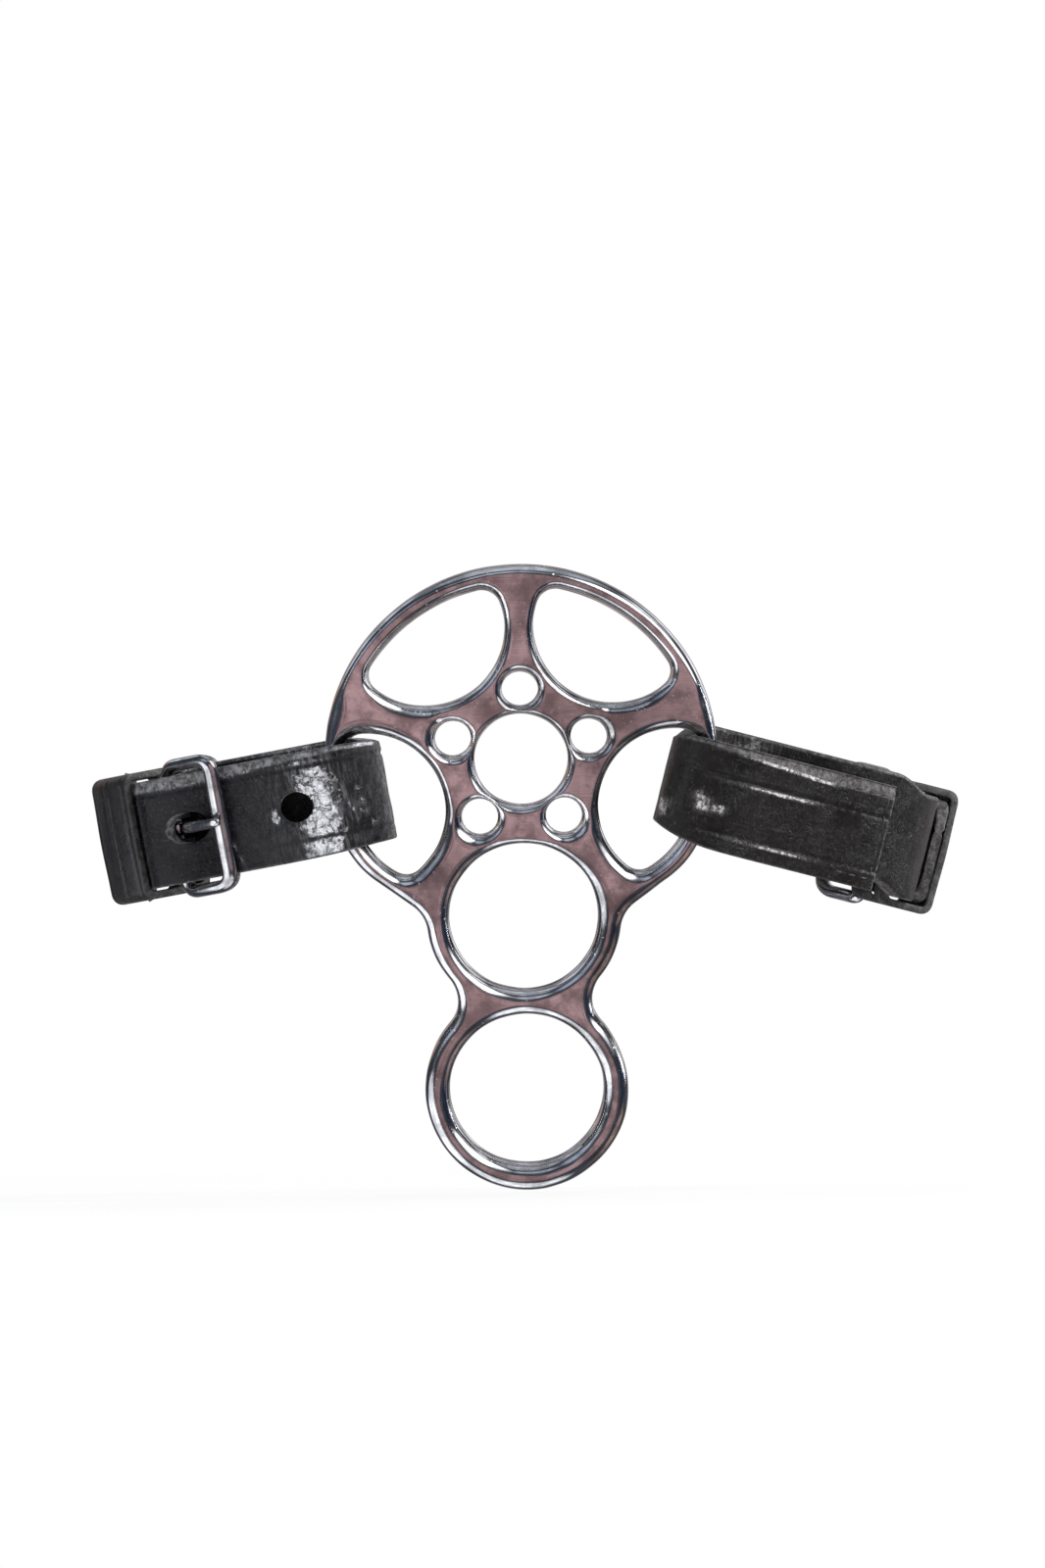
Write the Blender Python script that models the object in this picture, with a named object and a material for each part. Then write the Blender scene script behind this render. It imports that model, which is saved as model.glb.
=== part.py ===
"""Mechanical hackamore with pierced wheel cheeks, a leather noseband and a curb strap.

Lengths are in metres and +Z is up. X runs from the noseband, at -X, to the curb strap, at +X,
and the near cheek lies on the -Y side. The origin is midway between the centres of the two
wheels. Every leather and buckle piece is worked out on a straight strap, by its distance
along, out from and across the strap, and then laid round the nose or under the jaw.
"""

import math
from collections import namedtuple

import bmesh
import bpy
from mathutils import Vector

# Cheek plates
CHEEK_SPACING = 0.106
CHEEK_LEAN = math.radians(10.0)
PLATE_THICKNESS = 0.006
PLATE_ROUNDING = 0.0018
WHEEL_RADIUS = 0.0426
RIM_WIDTH = 0.0037
SPOKE_WIDTH = 0.0062
PETAL_INSET = 0.0071
PETAL_CORNER = 0.0042
UPPER_PETAL_ANGLE = math.radians(35.0)
SIDE_PETAL_ANGLE = math.radians(108.0)
HUB_HOLE_RADIUS = 0.0102
HUB_WEB = 0.0014
HUB_ROUNDING = 0.0006
SMALL_HOLE_RADIUS = 0.004
SMALL_HOLE_COUNT = 5
HUB_TO_RING_WEB = 0.0083
MID_RING_HOLE = 0.0163
MID_RING_WIDTH = 0.0048
RING_WEB = 0.005
LOW_RING_HOLE = 0.0168
LOW_RING_WIDTH = 0.0052
SHOULDER_RADIUS = 0.022
SHOULDER_START = math.radians(25.0)
SHOULDER_END = math.radians(54.0)
SHOULDER_FILLET = 0.008
WAIST_FILLET = 0.008
FACET_DEPTH = 0.00008
EDGE_SHARE = 0.47
PETAL_WEB_SHARE = 0.6

# Leather straps
STRAP_ROOM = 0.00383
STRAP_SHARE = 0.9
STRAP_THICKNESS = 0.0035
STRAP_CHAMFER = 0.0005
STRAP_LEAN = math.radians(22.0)
STRAP_LEAN_LENGTH = 0.018
STRAP_STEP = 0.0065
BILLET_STEP = 0.0036
FOLD_FACETS = 8
NOSE_DROP = math.radians(9.7)
NOSE_RISE = -0.0014
NOSE_LOOP_GAP = 0.0076
NOSE_FOLD_INSET = 0.0128
NOSE_BEND_INSET = 0.0019
CURB_DROP = math.radians(15.3)
CURB_RISE = 0.0025
CURB_LOOP_GAP = 0.0122
CURB_FOLD_INSET = 0.0114
CURB_BEND_OFFSET = 0.0009
STITCHED_LAP_START = 0.027
STITCHED_LAP_LENGTH = 0.014
LAP_SKIVE = 0.005
LAP_END_THICKNESS = 0.0018
SEAT = 0.0003

# Punched strap ends
BILLET_HOLE_RADIUS = 0.0033
FIRST_HOLE_PLACE = 0.0112
HOLE_PITCH = 0.0205
HOLE_FACETS = 12
BUCKLE_SLOT_EXTRA = 0.0016
BILLET_TIP_PLACE = 0.0685
BILLET_TIP_LENGTH = 0.009
BILLET_TIP_END_SHARE = 0.36

# Buckles
ROD_RADIUS = 0.0014
ROD_SIDES = 8
HEEL_BAR_PLACE = 0.0385
FRONT_BAR_PLACE = 0.0255
FRAME_SIDE_GAP = 0.0008
FRAME_CORNER = 0.0034
FRAME_CORNER_FACETS = 4
BILLET_DIP = 0.0034
TONGUE_WIDTH = 0.0028
TONGUE_THICKNESS = 0.0018
TONGUE_OVERHANG = 0.0016
CHAPE_THICKNESS = 0.0015
CHAPE_TAIL_LENGTH = 0.0135
CHAPE_NARROWING = 0.0008
CHAPE_SLOT_LENGTH = 0.005
CHAPE_SLOT_GAP = 0.0009

# Keepers
KEEPER_WIDTH = 0.0068
KEEPER_THICKNESS = 0.0017
KEEPER_ROUNDING = 0.0014
KEEPER_PLAY = 0.0005
FIXED_KEEPER_PLACE = 0.0484
SLIDING_KEEPER_PLACE = 0.0597

# Nose pad
PAD_START = 0.0425
PAD_THICKNESS = 0.003
PAD_CROWN = 0.0045
PAD_EDGE_INSET = 0.0004
PAD_EXTRA_WIDTH = 0.006
PAD_BLEND_LENGTH = 0.009
PAD_STEP = 0.0065

CUT_OVERRUN = 0.001
SMOOTH_ANGLE = math.radians(40.0)

Finish = namedtuple("Finish", "suffix colour roughness metallic")
Arc = namedtuple("Arc", "centre radius start end turn")
Station = namedtuple("Station", "strap along out side half_width half_thickness")

CHEEK_STEEL = Finish("steel", (0.42, 0.36, 0.36), 0.16, 1.0)
BUCKLE_STEEL = Finish("steel", (0.5, 0.49, 0.48), 0.2, 1.0)
NOSE_LEATHER = Finish("leather", (0.018, 0.017, 0.018), 0.35, 0.0)
CURB_LEATHER = Finish("leather", (0.016, 0.015, 0.016), 0.4, 0.0)
PAD_LEATHER = Finish("leather", (0.022, 0.02, 0.02), 0.6, 0.0)
CHAPE_LEATHER = Finish("leather", (0.02, 0.019, 0.02), 0.42, 0.0)
KEEPER_LEATHER = Finish("leather", (0.02, 0.018, 0.019), 0.38, 0.0)


def clear_scene():
    """Remove every object that the scene holds."""
    for item in list(bpy.data.objects):
        bpy.data.objects.remove(item, do_unlink=True)


def material(name, finish):
    """Make one piece's plain Principled material."""
    made = bpy.data.materials.new(name + "_" + finish.suffix)
    made.use_nodes = True
    shader = made.node_tree.nodes["Principled BSDF"]
    shader.inputs["Base Color"].default_value = (*finish.colour, 1.0)
    shader.inputs["Roughness"].default_value = finish.roughness
    shader.inputs["Metallic"].default_value = finish.metallic
    return made


def polar(radius, angle):
    """Point in a cheek's plane at a radius and an angle from +X."""
    return Vector((radius * math.cos(angle), radius * math.sin(angle)))


def direction(start, end):
    """Angle of the way from one point of a plane to another."""
    way = end - start
    return math.atan2(way.y, way.x)


def eased(share):
    """Smooth step from 0 to 1."""
    share = min(max(share, 0.0), 1.0)
    return share * share * (3.0 - 2.0 * share)


def link_mesh(name, shape, finish):
    """Turn a bmesh into a named object with its faces out and its round faces smooth."""
    bmesh.ops.recalc_face_normals(shape, faces=shape.faces)
    if shape.calc_volume(signed=True) < 0.0:
        bmesh.ops.reverse_faces(shape, faces=shape.faces)
    mesh = bpy.data.meshes.new(name)
    shape.to_mesh(mesh)
    shape.free()
    mesh.shade_smooth()
    mesh.set_sharp_from_angle(angle=SMOOTH_ANGLE)
    item = bpy.data.objects.new(name, mesh)
    bpy.context.collection.objects.link(item)
    if finish:
        mesh.materials.append(material(name, finish))
    return item


def hide_cutter(cutter):
    """Show a cutter as wire only and keep it out of the model."""
    cutter.hide_render = True
    cutter.display_type = "WIRE"


def cut_away(item, cutter):
    """Take a cutter's space out of an object with an exact Boolean."""
    change = item.modifiers.new("cut_" + cutter.name, "BOOLEAN")
    change.operation = "DIFFERENCE"
    change.solver = "EXACT"
    change.object = cutter
    hide_cutter(cutter)


# Outlines of the cheek

def circle(centre, radius):
    """Whole circle as an outline of one arc."""
    return [Arc(centre, radius, 0.0, 2.0 * math.pi, 1)]


def arc_point(arc, angle, growth=0.0):
    """Point of an arc, which grows outwards when it is convex and shrinks when it is hollow."""
    return arc.centre + polar(arc.radius + arc.turn * growth, angle)


def facet_count(arc):
    """Number of straight facets that keep an arc within the facet depth."""
    sweep = abs(arc.end - arc.start)
    return max(2, math.ceil(sweep * math.sqrt(arc.radius / (8.0 * FACET_DEPTH))))


def outline_points(arcs, growth=0.0):
    """Corner points of an outline of arcs, with straight lines where the arcs don't meet."""
    points = []
    for arc, follower in zip(arcs, arcs[1:] + arcs[:1]):
        count = facet_count(arc)
        gap = (arc_point(arc, arc.end) - arc_point(follower, follower.start)).length
        last = count + 1 if gap > FACET_DEPTH else count
        for index in range(last):
            angle = arc.start + (arc.end - arc.start) * index / count
            points.append(arc_point(arc, angle, growth))
    return points


def circle_crossings(first, second):
    """Both points where two circles, each a centre and a radius, cross."""
    (centre, radius), (other, other_radius) = first, second
    way = other - centre
    gap = way.length
    if gap < abs(radius - other_radius) or gap > radius + other_radius:
        return []
    along = (radius ** 2 - other_radius ** 2 + gap ** 2) / (2.0 * gap)
    across = math.sqrt(max(radius ** 2 - along ** 2, 0.0))
    forward = way / gap
    sideways = Vector((-forward.y, forward.x))
    foot = centre + forward * along
    return [foot + sideways * across, foot - sideways * across]


def shrunk(disc):
    """Disc that the centres of a petal's round corners lie on."""
    centre, radius = disc
    return centre, radius - PETAL_CORNER


def turned_arc(centre, radius, start, end):
    """Convex arc from one direction on to the next place of another, anticlockwise."""
    return Arc(centre, radius, start, start + (end - start) % (2.0 * math.pi), 1)


MID_RING_DROP = HUB_HOLE_RADIUS + HUB_TO_RING_WEB + MID_RING_HOLE
LOW_RING_DROP = MID_RING_DROP + MID_RING_HOLE + RING_WEB + LOW_RING_HOLE
PETAL_REACH = WHEEL_RADIUS - PETAL_INSET
PETAL_RADIUS = PETAL_REACH * math.sin(UPPER_PETAL_ANGLE) - SPOKE_WIDTH / 2.0
STRAP_WIDTH = 2.0 * (STRAP_SHARE * PETAL_RADIUS - STRAP_ROOM)
WHEEL_CENTRE = Vector((0.0, 0.0))
RIM_TO_SHOULDER = math.pi + SHOULDER_START
MID_RING = (Vector((0.0, -MID_RING_DROP)), MID_RING_HOLE + MID_RING_WIDTH)
LOW_RING = (Vector((0.0, -LOW_RING_DROP)), LOW_RING_HOLE + LOW_RING_WIDTH)


def mirrored(arcs):
    """Arcs of the left side as the right side, in their order round the cheek."""
    made = []
    for arc in reversed(arcs):
        centre = Vector((-arc.centre.x, arc.centre.y))
        made.append(Arc(centre, arc.radius, math.pi - arc.end, math.pi - arc.start, arc.turn))
    return made


def shoulder_centre():
    """Centre of the left shoulder's arc, which leaves the wheel's rim smoothly."""
    return polar(WHEEL_RADIUS - SHOULDER_RADIUS, math.pi + SHOULDER_START)


def cheek_outline():
    """Outer edge of a cheek: wheel, shoulders, middle ring, waist and lower ring."""
    centre = shoulder_centre()
    end = math.pi + SHOULDER_END
    shoulder = Arc(centre, SHOULDER_RADIUS, math.pi + SHOULDER_START, end, 1)
    outwards = polar(1.0, end)
    forward = Vector((-outwards.y, outwards.x))
    line_start = centre + outwards * (SHOULDER_RADIUS + SHOULDER_FILLET)
    reach = MID_RING[1] + SHOULDER_FILLET
    back = line_start - MID_RING[0]
    along = -back.dot(forward) - math.sqrt(max(back.dot(forward) ** 2 - back.dot(back) + reach ** 2, 0.0))
    fillet_centre = line_start + forward * max(along, 0.0)
    ring_side = direction(fillet_centre, MID_RING[0])
    fillet = Arc(fillet_centre, SHOULDER_FILLET, end - math.pi, ring_side, -1)
    grown_rings = [(ring[0], ring[1] + WAIST_FILLET) for ring in (MID_RING, LOW_RING)]
    waist = min(circle_crossings(*grown_rings), key=lambda point: point.x)
    ring_start = direction(MID_RING[0], fillet_centre) % (2.0 * math.pi)
    ring_end = direction(MID_RING[0], waist) % (2.0 * math.pi)
    ring_arc = Arc(MID_RING[0], MID_RING[1], ring_start, ring_end, 1)
    waist_arc = Arc(waist, WAIST_FILLET, ring_end - math.pi, direction(waist, LOW_RING[0]), -1)
    left = [shoulder, fillet, ring_arc, waist_arc]
    low_start = direction(LOW_RING[0], waist)
    low_arc = Arc(LOW_RING[0], LOW_RING[1], low_start, 3.0 * math.pi - low_start, 1)
    wheel = Arc(WHEEL_CENTRE, WHEEL_RADIUS, -SHOULDER_START, math.pi + SHOULDER_START, 1)
    return [wheel] + left + [low_arc] + mirrored(left)


def petal(angle, outer_discs):
    """Opening between two spokes: a disc of its own and, outside, the rim's discs in their order."""
    own = (polar(PETAL_REACH, angle), PETAL_RADIUS)
    upper = max(circle_crossings(shrunk(own), shrunk(outer_discs[0])), key=lambda spot: spot.y)
    lower = min(circle_crossings(shrunk(own), shrunk(outer_discs[-1])), key=lambda spot: spot.y)
    starts = [direction(outer_discs[0][0], upper)] + [RIM_TO_SHOULDER] * (len(outer_discs) - 1)
    ends = [RIM_TO_SHOULDER] * (len(outer_discs) - 1) + [direction(outer_discs[-1][0], lower)]
    arcs = []
    for (centre, radius), start, end in zip(outer_discs, starts, ends):
        arcs.append(turned_arc(centre, radius, start, end))
    to_lower = direction(own[0], lower)
    to_upper = direction(own[0], upper)
    arcs.append(turned_arc(lower, PETAL_CORNER, ends[-1], to_lower))
    arcs.append(turned_arc(own[0], own[1], to_lower, to_upper))
    arcs.append(turned_arc(upper, PETAL_CORNER, to_upper, starts[0]))
    return arcs


def cheek_openings():
    """Every opening through a cheek with the rounding of its edge."""
    small_reach = HUB_HOLE_RADIUS + HUB_WEB + SMALL_HOLE_RADIUS
    spread = math.pi / SMALL_HOLE_COUNT
    hole_gap = (polar(small_reach, spread) - Vector((PETAL_REACH, 0.0))).length
    petal_web = hole_gap - PETAL_RADIUS - SMALL_HOLE_RADIUS
    widths = (RIM_WIDTH, SPOKE_WIDTH, RING_WEB, MID_RING_WIDTH, LOW_RING_WIDTH, PLATE_THICKNESS)
    narrow = min(HUB_ROUNDING, EDGE_SHARE * HUB_WEB)
    wide = min(PLATE_ROUNDING, EDGE_SHARE * min(widths), max(PETAL_WEB_SHARE * petal_web, narrow))
    rim = (WHEEL_CENTRE, WHEEL_RADIUS - RIM_WIDTH)
    shoulder = (shoulder_centre(), SHOULDER_RADIUS - RIM_WIDTH)
    upper_petal = petal(math.pi / 2.0 + UPPER_PETAL_ANGLE, [rim])
    side_petal = petal(math.pi / 2.0 + SIDE_PETAL_ANGLE, [rim, shoulder])
    openings = []
    for arcs in (upper_petal, side_petal):
        openings.append((arcs, wide))
        openings.append((mirrored(arcs), wide))
    openings.append((circle(MID_RING[0], MID_RING_HOLE), wide))
    openings.append((circle(LOW_RING[0], LOW_RING_HOLE), wide))
    openings.append((circle(WHEEL_CENTRE, HUB_HOLE_RADIUS), narrow))
    for index in range(SMALL_HOLE_COUNT):
        angle = math.pi / 2.0 + index * 2.0 * math.pi / SMALL_HOLE_COUNT
        openings.append((circle(polar(small_reach, angle), SMALL_HOLE_RADIUS), narrow))
    return openings, wide


def edge_levels(rounding, steps):
    """Inset and depth of the rings that round a plate's edge, from one face to the other."""
    front = []
    for index in range(steps + 1):
        angle = math.pi / 2.0 * index / steps
        front.append((rounding * (1.0 - math.sin(angle)), rounding * (1.0 - math.cos(angle))))
    back = [(inset, PLATE_THICKNESS - depth) for inset, depth in reversed(front)]
    return front + back


def cheek(name, end):
    """Cheek plate with its pivot at the wheel's centre, leaning out at the top."""
    openings, rounding = cheek_openings()
    contours = [(cheek_outline(), rounding, -1, 2)]
    for arcs, edge in openings:
        contours.append((arcs, edge, 1, 2 if edge == rounding else 1))
    shape = bmesh.new()
    face_edges = ([], [])
    for arcs, edge, grows, steps in contours:
        rings = []
        for inset, depth in edge_levels(edge, steps):
            points = outline_points(arcs, grows * inset)
            height = depth - PLATE_THICKNESS / 2.0
            rings.append([shape.verts.new((point.x, height, point.y)) for point in points])
        for ring, follower in zip(rings, rings[1:]):
            for index in range(len(ring)):
                after = (index + 1) % len(ring)
                shape.faces.new((ring[index], ring[after], follower[after], follower[index]))
        for edges, ring in zip(face_edges, (rings[0], rings[-1])):
            for index in range(len(ring)):
                edges.append(shape.edges.get((ring[index], ring[(index + 1) % len(ring)])))
    for edges in face_edges:
        bmesh.ops.triangle_fill(shape, use_beauty=True, edges=edges)
    item = link_mesh(name, shape, CHEEK_STEEL)
    item.location = (0.0, end * CHEEK_SPACING / 2.0, 0.0)
    item.rotation_euler.x = -end * CHEEK_LEAN
    return item


# Straps

class StrapEnd:
    """Half of a strap, from its fold round a cheek's rim to the middle of the strap."""

    def __init__(self, side, end, drop, rise, loop_gap, fold_reach, bend_reach):
        self.side = side
        self.end = end
        self.drop = drop
        self.rise = rise
        self.loop_radius = (loop_gap + STRAP_THICKNESS) / 2.0
        self.fold_centre = fold_reach + STRAP_THICKNESS / 2.0 + self.loop_radius
        self.bend_start = max(bend_reach, self.fold_centre)
        self.bend_radius = CHEEK_SPACING / 2.0 - self.loop_radius
        self.straight = self.bend_start - self.fold_centre
        self.half_length = self.straight + self.bend_radius * math.pi / 2.0

    def bend_angle(self, along):
        """Turn of the strap at a length from its fold."""
        return max(along - self.straight, 0.0) / self.bend_radius

    def place(self, along, out, across):
        """World point at a length along the strap, out from its base layer and across it."""
        radius = self.bend_radius + out
        angle = self.bend_angle(along)
        reach = self.fold_centre + min(along, self.straight) + radius * math.sin(angle)
        across = across + self.rise
        x = self.side * (reach * math.cos(self.drop) + across * math.sin(self.drop))
        z = across * math.cos(self.drop) - reach * math.sin(self.drop)
        share = eased((reach - WHEEL_RADIUS - STRAP_CHAMFER) / STRAP_LEAN_LENGTH)
        lean = CHEEK_LEAN + (STRAP_LEAN - CHEEK_LEAN) * share
        spread = radius * math.cos(angle) * (1.0 + z * math.tan(lean) / (CHEEK_SPACING / 2.0))
        return Vector((x, self.end * spread, z))


def sampled(start, end, step):
    """Even places from a start to an end, about a step apart."""
    count = max(2, math.ceil(abs(end - start) / step))
    return [start + (end - start) * index / count for index in range(count + 1)]


HEEL_BAR_OUT = STRAP_THICKNESS / 2.0 + 2.0 * SEAT + CHAPE_THICKNESS + ROD_RADIUS
CHAPE_ROUND = ROD_RADIUS + SEAT + CHAPE_THICKNESS
CHAPE_TAIL_TOP = STRAP_THICKNESS / 2.0 + SEAT + 2.0 * CHAPE_THICKNESS
CHAPE_TAIL_END = HEEL_BAR_PLACE + CHAPE_TAIL_LENGTH
BILLET_OVER_HEEL = HEEL_BAR_OUT + CHAPE_ROUND + SEAT + STRAP_THICKNESS / 2.0
BILLET_OVER_TAIL = CHAPE_TAIL_TOP + SEAT + STRAP_THICKNESS / 2.0
BILLET_AT_FRONT = BILLET_OVER_HEEL - BILLET_DIP
FRONT_BAR_OUT = BILLET_AT_FRONT + STRAP_THICKNESS / 2.0 + SEAT + ROD_RADIUS
LAYERS_TOGETHER = STRAP_THICKNESS + SEAT
BILLET_DOWN_PLACE = SLIDING_KEEPER_PLACE - KEEPER_WIDTH / 2.0
BUCKLE_HOLE_PLACE = FIRST_HOLE_PLACE + HOLE_PITCH


def billet_knots(strap):
    """Heights of a buckled end over the base layer: loop, both bars, chape and keepers."""
    return [
        (0.0, 2.0 * strap.loop_radius),
        (FRONT_BAR_PLACE, BILLET_AT_FRONT),
        (HEEL_BAR_PLACE, BILLET_OVER_HEEL),
        (HEEL_BAR_PLACE + ROD_RADIUS, BILLET_OVER_HEEL),
        (FIXED_KEEPER_PLACE - KEEPER_WIDTH / 2.0, BILLET_OVER_TAIL),
        (CHAPE_TAIL_END, BILLET_OVER_TAIL),
        (BILLET_DOWN_PLACE, LAYERS_TOGETHER),
    ]


def billet_out(strap, along):
    """Height of a buckled end over the base layer at a length along the strap."""
    return through_knots(billet_knots(strap), along)


def lap_out(strap, along):
    """Height of a stitched end over the base layer."""
    return through_knots([(0.0, 2.0 * strap.loop_radius), (STITCHED_LAP_START, LAYERS_TOGETHER)], along)


def through_knots(knots, along):
    """Value at a place, eased from one knot to the next and level past the last."""
    for (start, low), (end, high) in zip(knots, knots[1:]):
        if along < end:
            return low + (high - low) * eased((along - start) / (end - start))
    return knots[-1][1]


def layer_stations(strap, height, places, width_at, thickness_at):
    """Stations of the outer layer of a loop, from its free end back to the fold."""
    stations = []
    for along in reversed(places):
        out = height(strap, along)
        slope = (height(strap, along + SEAT) - out) / SEAT
        side = Vector((slope, -1.0)).normalized()
        stations.append(Station(strap, along, out, side, width_at(along), thickness_at(along)))
    return stations


def fold_stations(strap):
    """Stations of the fold round the rim, from the outer layer to the base layer."""
    stations = []
    radius = strap.loop_radius
    for index in range(1, FOLD_FACETS):
        angle = math.pi * (1.0 - index / FOLD_FACETS)
        side = Vector((math.sin(angle), math.cos(angle)))
        along = -radius * math.sin(angle)
        out = radius * (1.0 - math.cos(angle))
        stations.append(Station(strap, along, out, side, STRAP_WIDTH / 2.0, STRAP_THICKNESS / 2.0))
    return stations


def base_stations(strap):
    """Stations of the base layer, from the fold to just short of the strap's middle."""
    places = sampled(0.0, strap.half_length, STRAP_STEP)[:-1]
    half = (STRAP_WIDTH / 2.0, STRAP_THICKNESS / 2.0)
    return [Station(strap, along, 0.0, Vector((0.0, 1.0)), *half) for along in places]


def middle_station(strap):
    """Station at the middle of a strap."""
    half = (STRAP_WIDTH / 2.0, STRAP_THICKNESS / 2.0)
    return Station(strap, strap.half_length, 0.0, Vector((0.0, 1.0)), *half)


def station_ring(station):
    """Eight corners of a strap's section with chamfered edges."""
    chamfer = min(STRAP_CHAMFER, station.half_thickness / 2.0)
    wide, thick = station.half_width, station.half_thickness
    corners = []
    for across_sign, side_sign in ((1, 1), (-1, 1), (-1, -1), (1, -1)):
        near_side = (across_sign * wide, side_sign * (thick - chamfer))
        near_edge = (across_sign * (wide - chamfer), side_sign * thick)
        pair = [near_side, near_edge] if across_sign == side_sign else [near_edge, near_side]
        corners.extend(pair)
    ring = []
    for across, through in corners:
        along = station.along + through * station.side.x
        out = station.out + through * station.side.y
        ring.append(station.strap.place(along, out, across))
    return ring


def loft(shape, rings, closed=False):
    """Join rings of points with faces and cap both ends, or close the last on the first."""
    made = [[shape.verts.new(point) for point in ring] for ring in rings]
    pairs = list(zip(made, made[1:]))
    if closed:
        pairs.append((made[-1], made[0]))
    for ring, follower in pairs:
        for index in range(len(ring)):
            after = (index + 1) % len(ring)
            shape.faces.new((ring[index], ring[after], follower[after], follower[index]))
    if not closed:
        shape.faces.new(made[0])
        shape.faces.new(made[-1])


def billet_width(along):
    """Half width of a punched end, narrowing to its tip."""
    share = max(along - BILLET_TIP_PLACE + BILLET_TIP_LENGTH, 0.0) / BILLET_TIP_LENGTH
    narrowing = 1.0 - math.sqrt(max(1.0 - share * share, 0.0))
    return STRAP_WIDTH / 2.0 * (1.0 - (1.0 - BILLET_TIP_END_SHARE) * narrowing)


def full_thickness(along):
    """Half thickness of a punched end, which isn't thinned anywhere."""
    return STRAP_THICKNESS / 2.0


def full_width(along):
    """Half width of a stitched end, which isn't narrowed anywhere."""
    return STRAP_WIDTH / 2.0


def lap_thickness(along):
    """Half thickness of a stitched end, thinned at its tip."""
    share = eased((along - STITCHED_LAP_START - STITCHED_LAP_LENGTH + LAP_SKIVE) / LAP_SKIVE)
    return (STRAP_THICKNESS + (LAP_END_THICKNESS - STRAP_THICKNESS) * share) / 2.0


def billet_places(strap):
    """Places along a punched end where its section is drawn."""
    knots = [place for place, height in billet_knots(strap)]
    shoulder = BILLET_TIP_PLACE - BILLET_TIP_LENGTH
    tip_shares = (0.45, 0.75, 0.92, 1.0)
    places = [knots[0]]
    for start, end in zip(knots, knots[1:] + [shoulder]):
        if end - start > BILLET_STEP / 4.0:
            places += sampled(start, end, BILLET_STEP)[1:]
    return places + [shoulder + BILLET_TIP_LENGTH * share for share in tip_shares]


def billet_half(strap):
    """Stations of a buckled half, from its tip to just short of the middle."""
    layer = layer_stations(strap, billet_out, billet_places(strap), billet_width, full_thickness)
    return layer + fold_stations(strap) + base_stations(strap)


def lap_half(strap):
    """Stations of a stitched half, from its thinned end to just short of the middle."""
    places = sampled(0.0, STITCHED_LAP_START + STITCHED_LAP_LENGTH, STRAP_STEP * 0.6)
    layer = layer_stations(strap, lap_out, places, full_width, lap_thickness)
    return layer + fold_stations(strap) + base_stations(strap)


def strap_mesh(name, near_half, middle, far_half, leather):
    """One strap from the free end at the near cheek to the free end at the far cheek."""
    shape = bmesh.new()
    stations = near_half + [middle] + list(reversed(far_half))
    loft(shape, [station_ring(station) for station in stations])
    return link_mesh(name, shape, leather)


def punch(strap_item, strap, name, along, slot):
    """Punch a round or long hole through the outer layer of a strap's end."""
    shape = bmesh.new()
    rings = []
    reach = STRAP_THICKNESS / 2.0 + CUT_OVERRUN
    for depth in (-reach, reach):
        ring = []
        for index in range(HOLE_FACETS):
            angle = 2.0 * math.pi * (index + 0.5) / HOLE_FACETS
            stretch = slot if math.cos(angle) > 0.0 else 0.0
            place = along + BILLET_HOLE_RADIUS * math.cos(angle) + stretch
            out = billet_out(strap, place) + depth
            ring.append(strap.place(place, out, BILLET_HOLE_RADIUS * math.sin(angle)))
        rings.append(ring)
    loft(shape, rings)
    cutter = link_mesh(name, shape, None)
    cut_away(strap_item, cutter)


# Buckles and keepers

def swept_ring(strap, path, radius, sides):
    """Closed rod along a path of points given along, out from and across a strap."""
    rings = []
    count = len(path)
    for index, point in enumerate(path):
        forward = (path[(index + 1) % count] - path[index - 1]).normalized()
        outwards = Vector((0.0, 1.0, 0.0))
        outwards = (outwards - forward * outwards.dot(forward)).normalized()
        sideways = forward.cross(outwards)
        ring = []
        for facet in range(sides):
            angle = 2.0 * math.pi * (facet + 0.5) / sides
            spot = point + outwards * radius * math.cos(angle) + sideways * radius * math.sin(angle)
            ring.append(strap.place(*spot))
        rings.append(ring)
    return rings


def frame_path():
    """Centre line of a buckle's frame, as points along, out from and across the strap."""
    half_width = STRAP_WIDTH / 2.0 + FRAME_SIDE_GAP + ROD_RADIUS
    corners = (
        (FRONT_BAR_PLACE, FRONT_BAR_OUT, -1),
        (FRONT_BAR_PLACE, FRONT_BAR_OUT, 1),
        (HEEL_BAR_PLACE, HEEL_BAR_OUT, 1),
        (HEEL_BAR_PLACE, HEEL_BAR_OUT, -1),
    )
    corner = min(FRAME_CORNER, (HEEL_BAR_PLACE - FRONT_BAR_PLACE) / 2.5)
    slope = (FRONT_BAR_OUT - HEEL_BAR_OUT) / (FRONT_BAR_PLACE - HEEL_BAR_PLACE)
    quarters = (1.0, 1.5, 0.0, 0.5)
    path = []
    for index, (along, out, across_sign) in enumerate(corners):
        inwards = 1.0 if index < 2 else -1.0
        centre_along = along + inwards * corner
        centre_across = across_sign * (half_width - corner)
        for step in range(FRAME_CORNER_FACETS + 1):
            turn = math.pi * (quarters[index] + 0.5 * step / FRAME_CORNER_FACETS)
            place = centre_along + corner * math.sin(turn)
            across = centre_across + corner * math.cos(turn)
            path.append(Vector((place, HEEL_BAR_OUT + slope * (place - HEEL_BAR_PLACE), across)))
    return path


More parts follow.
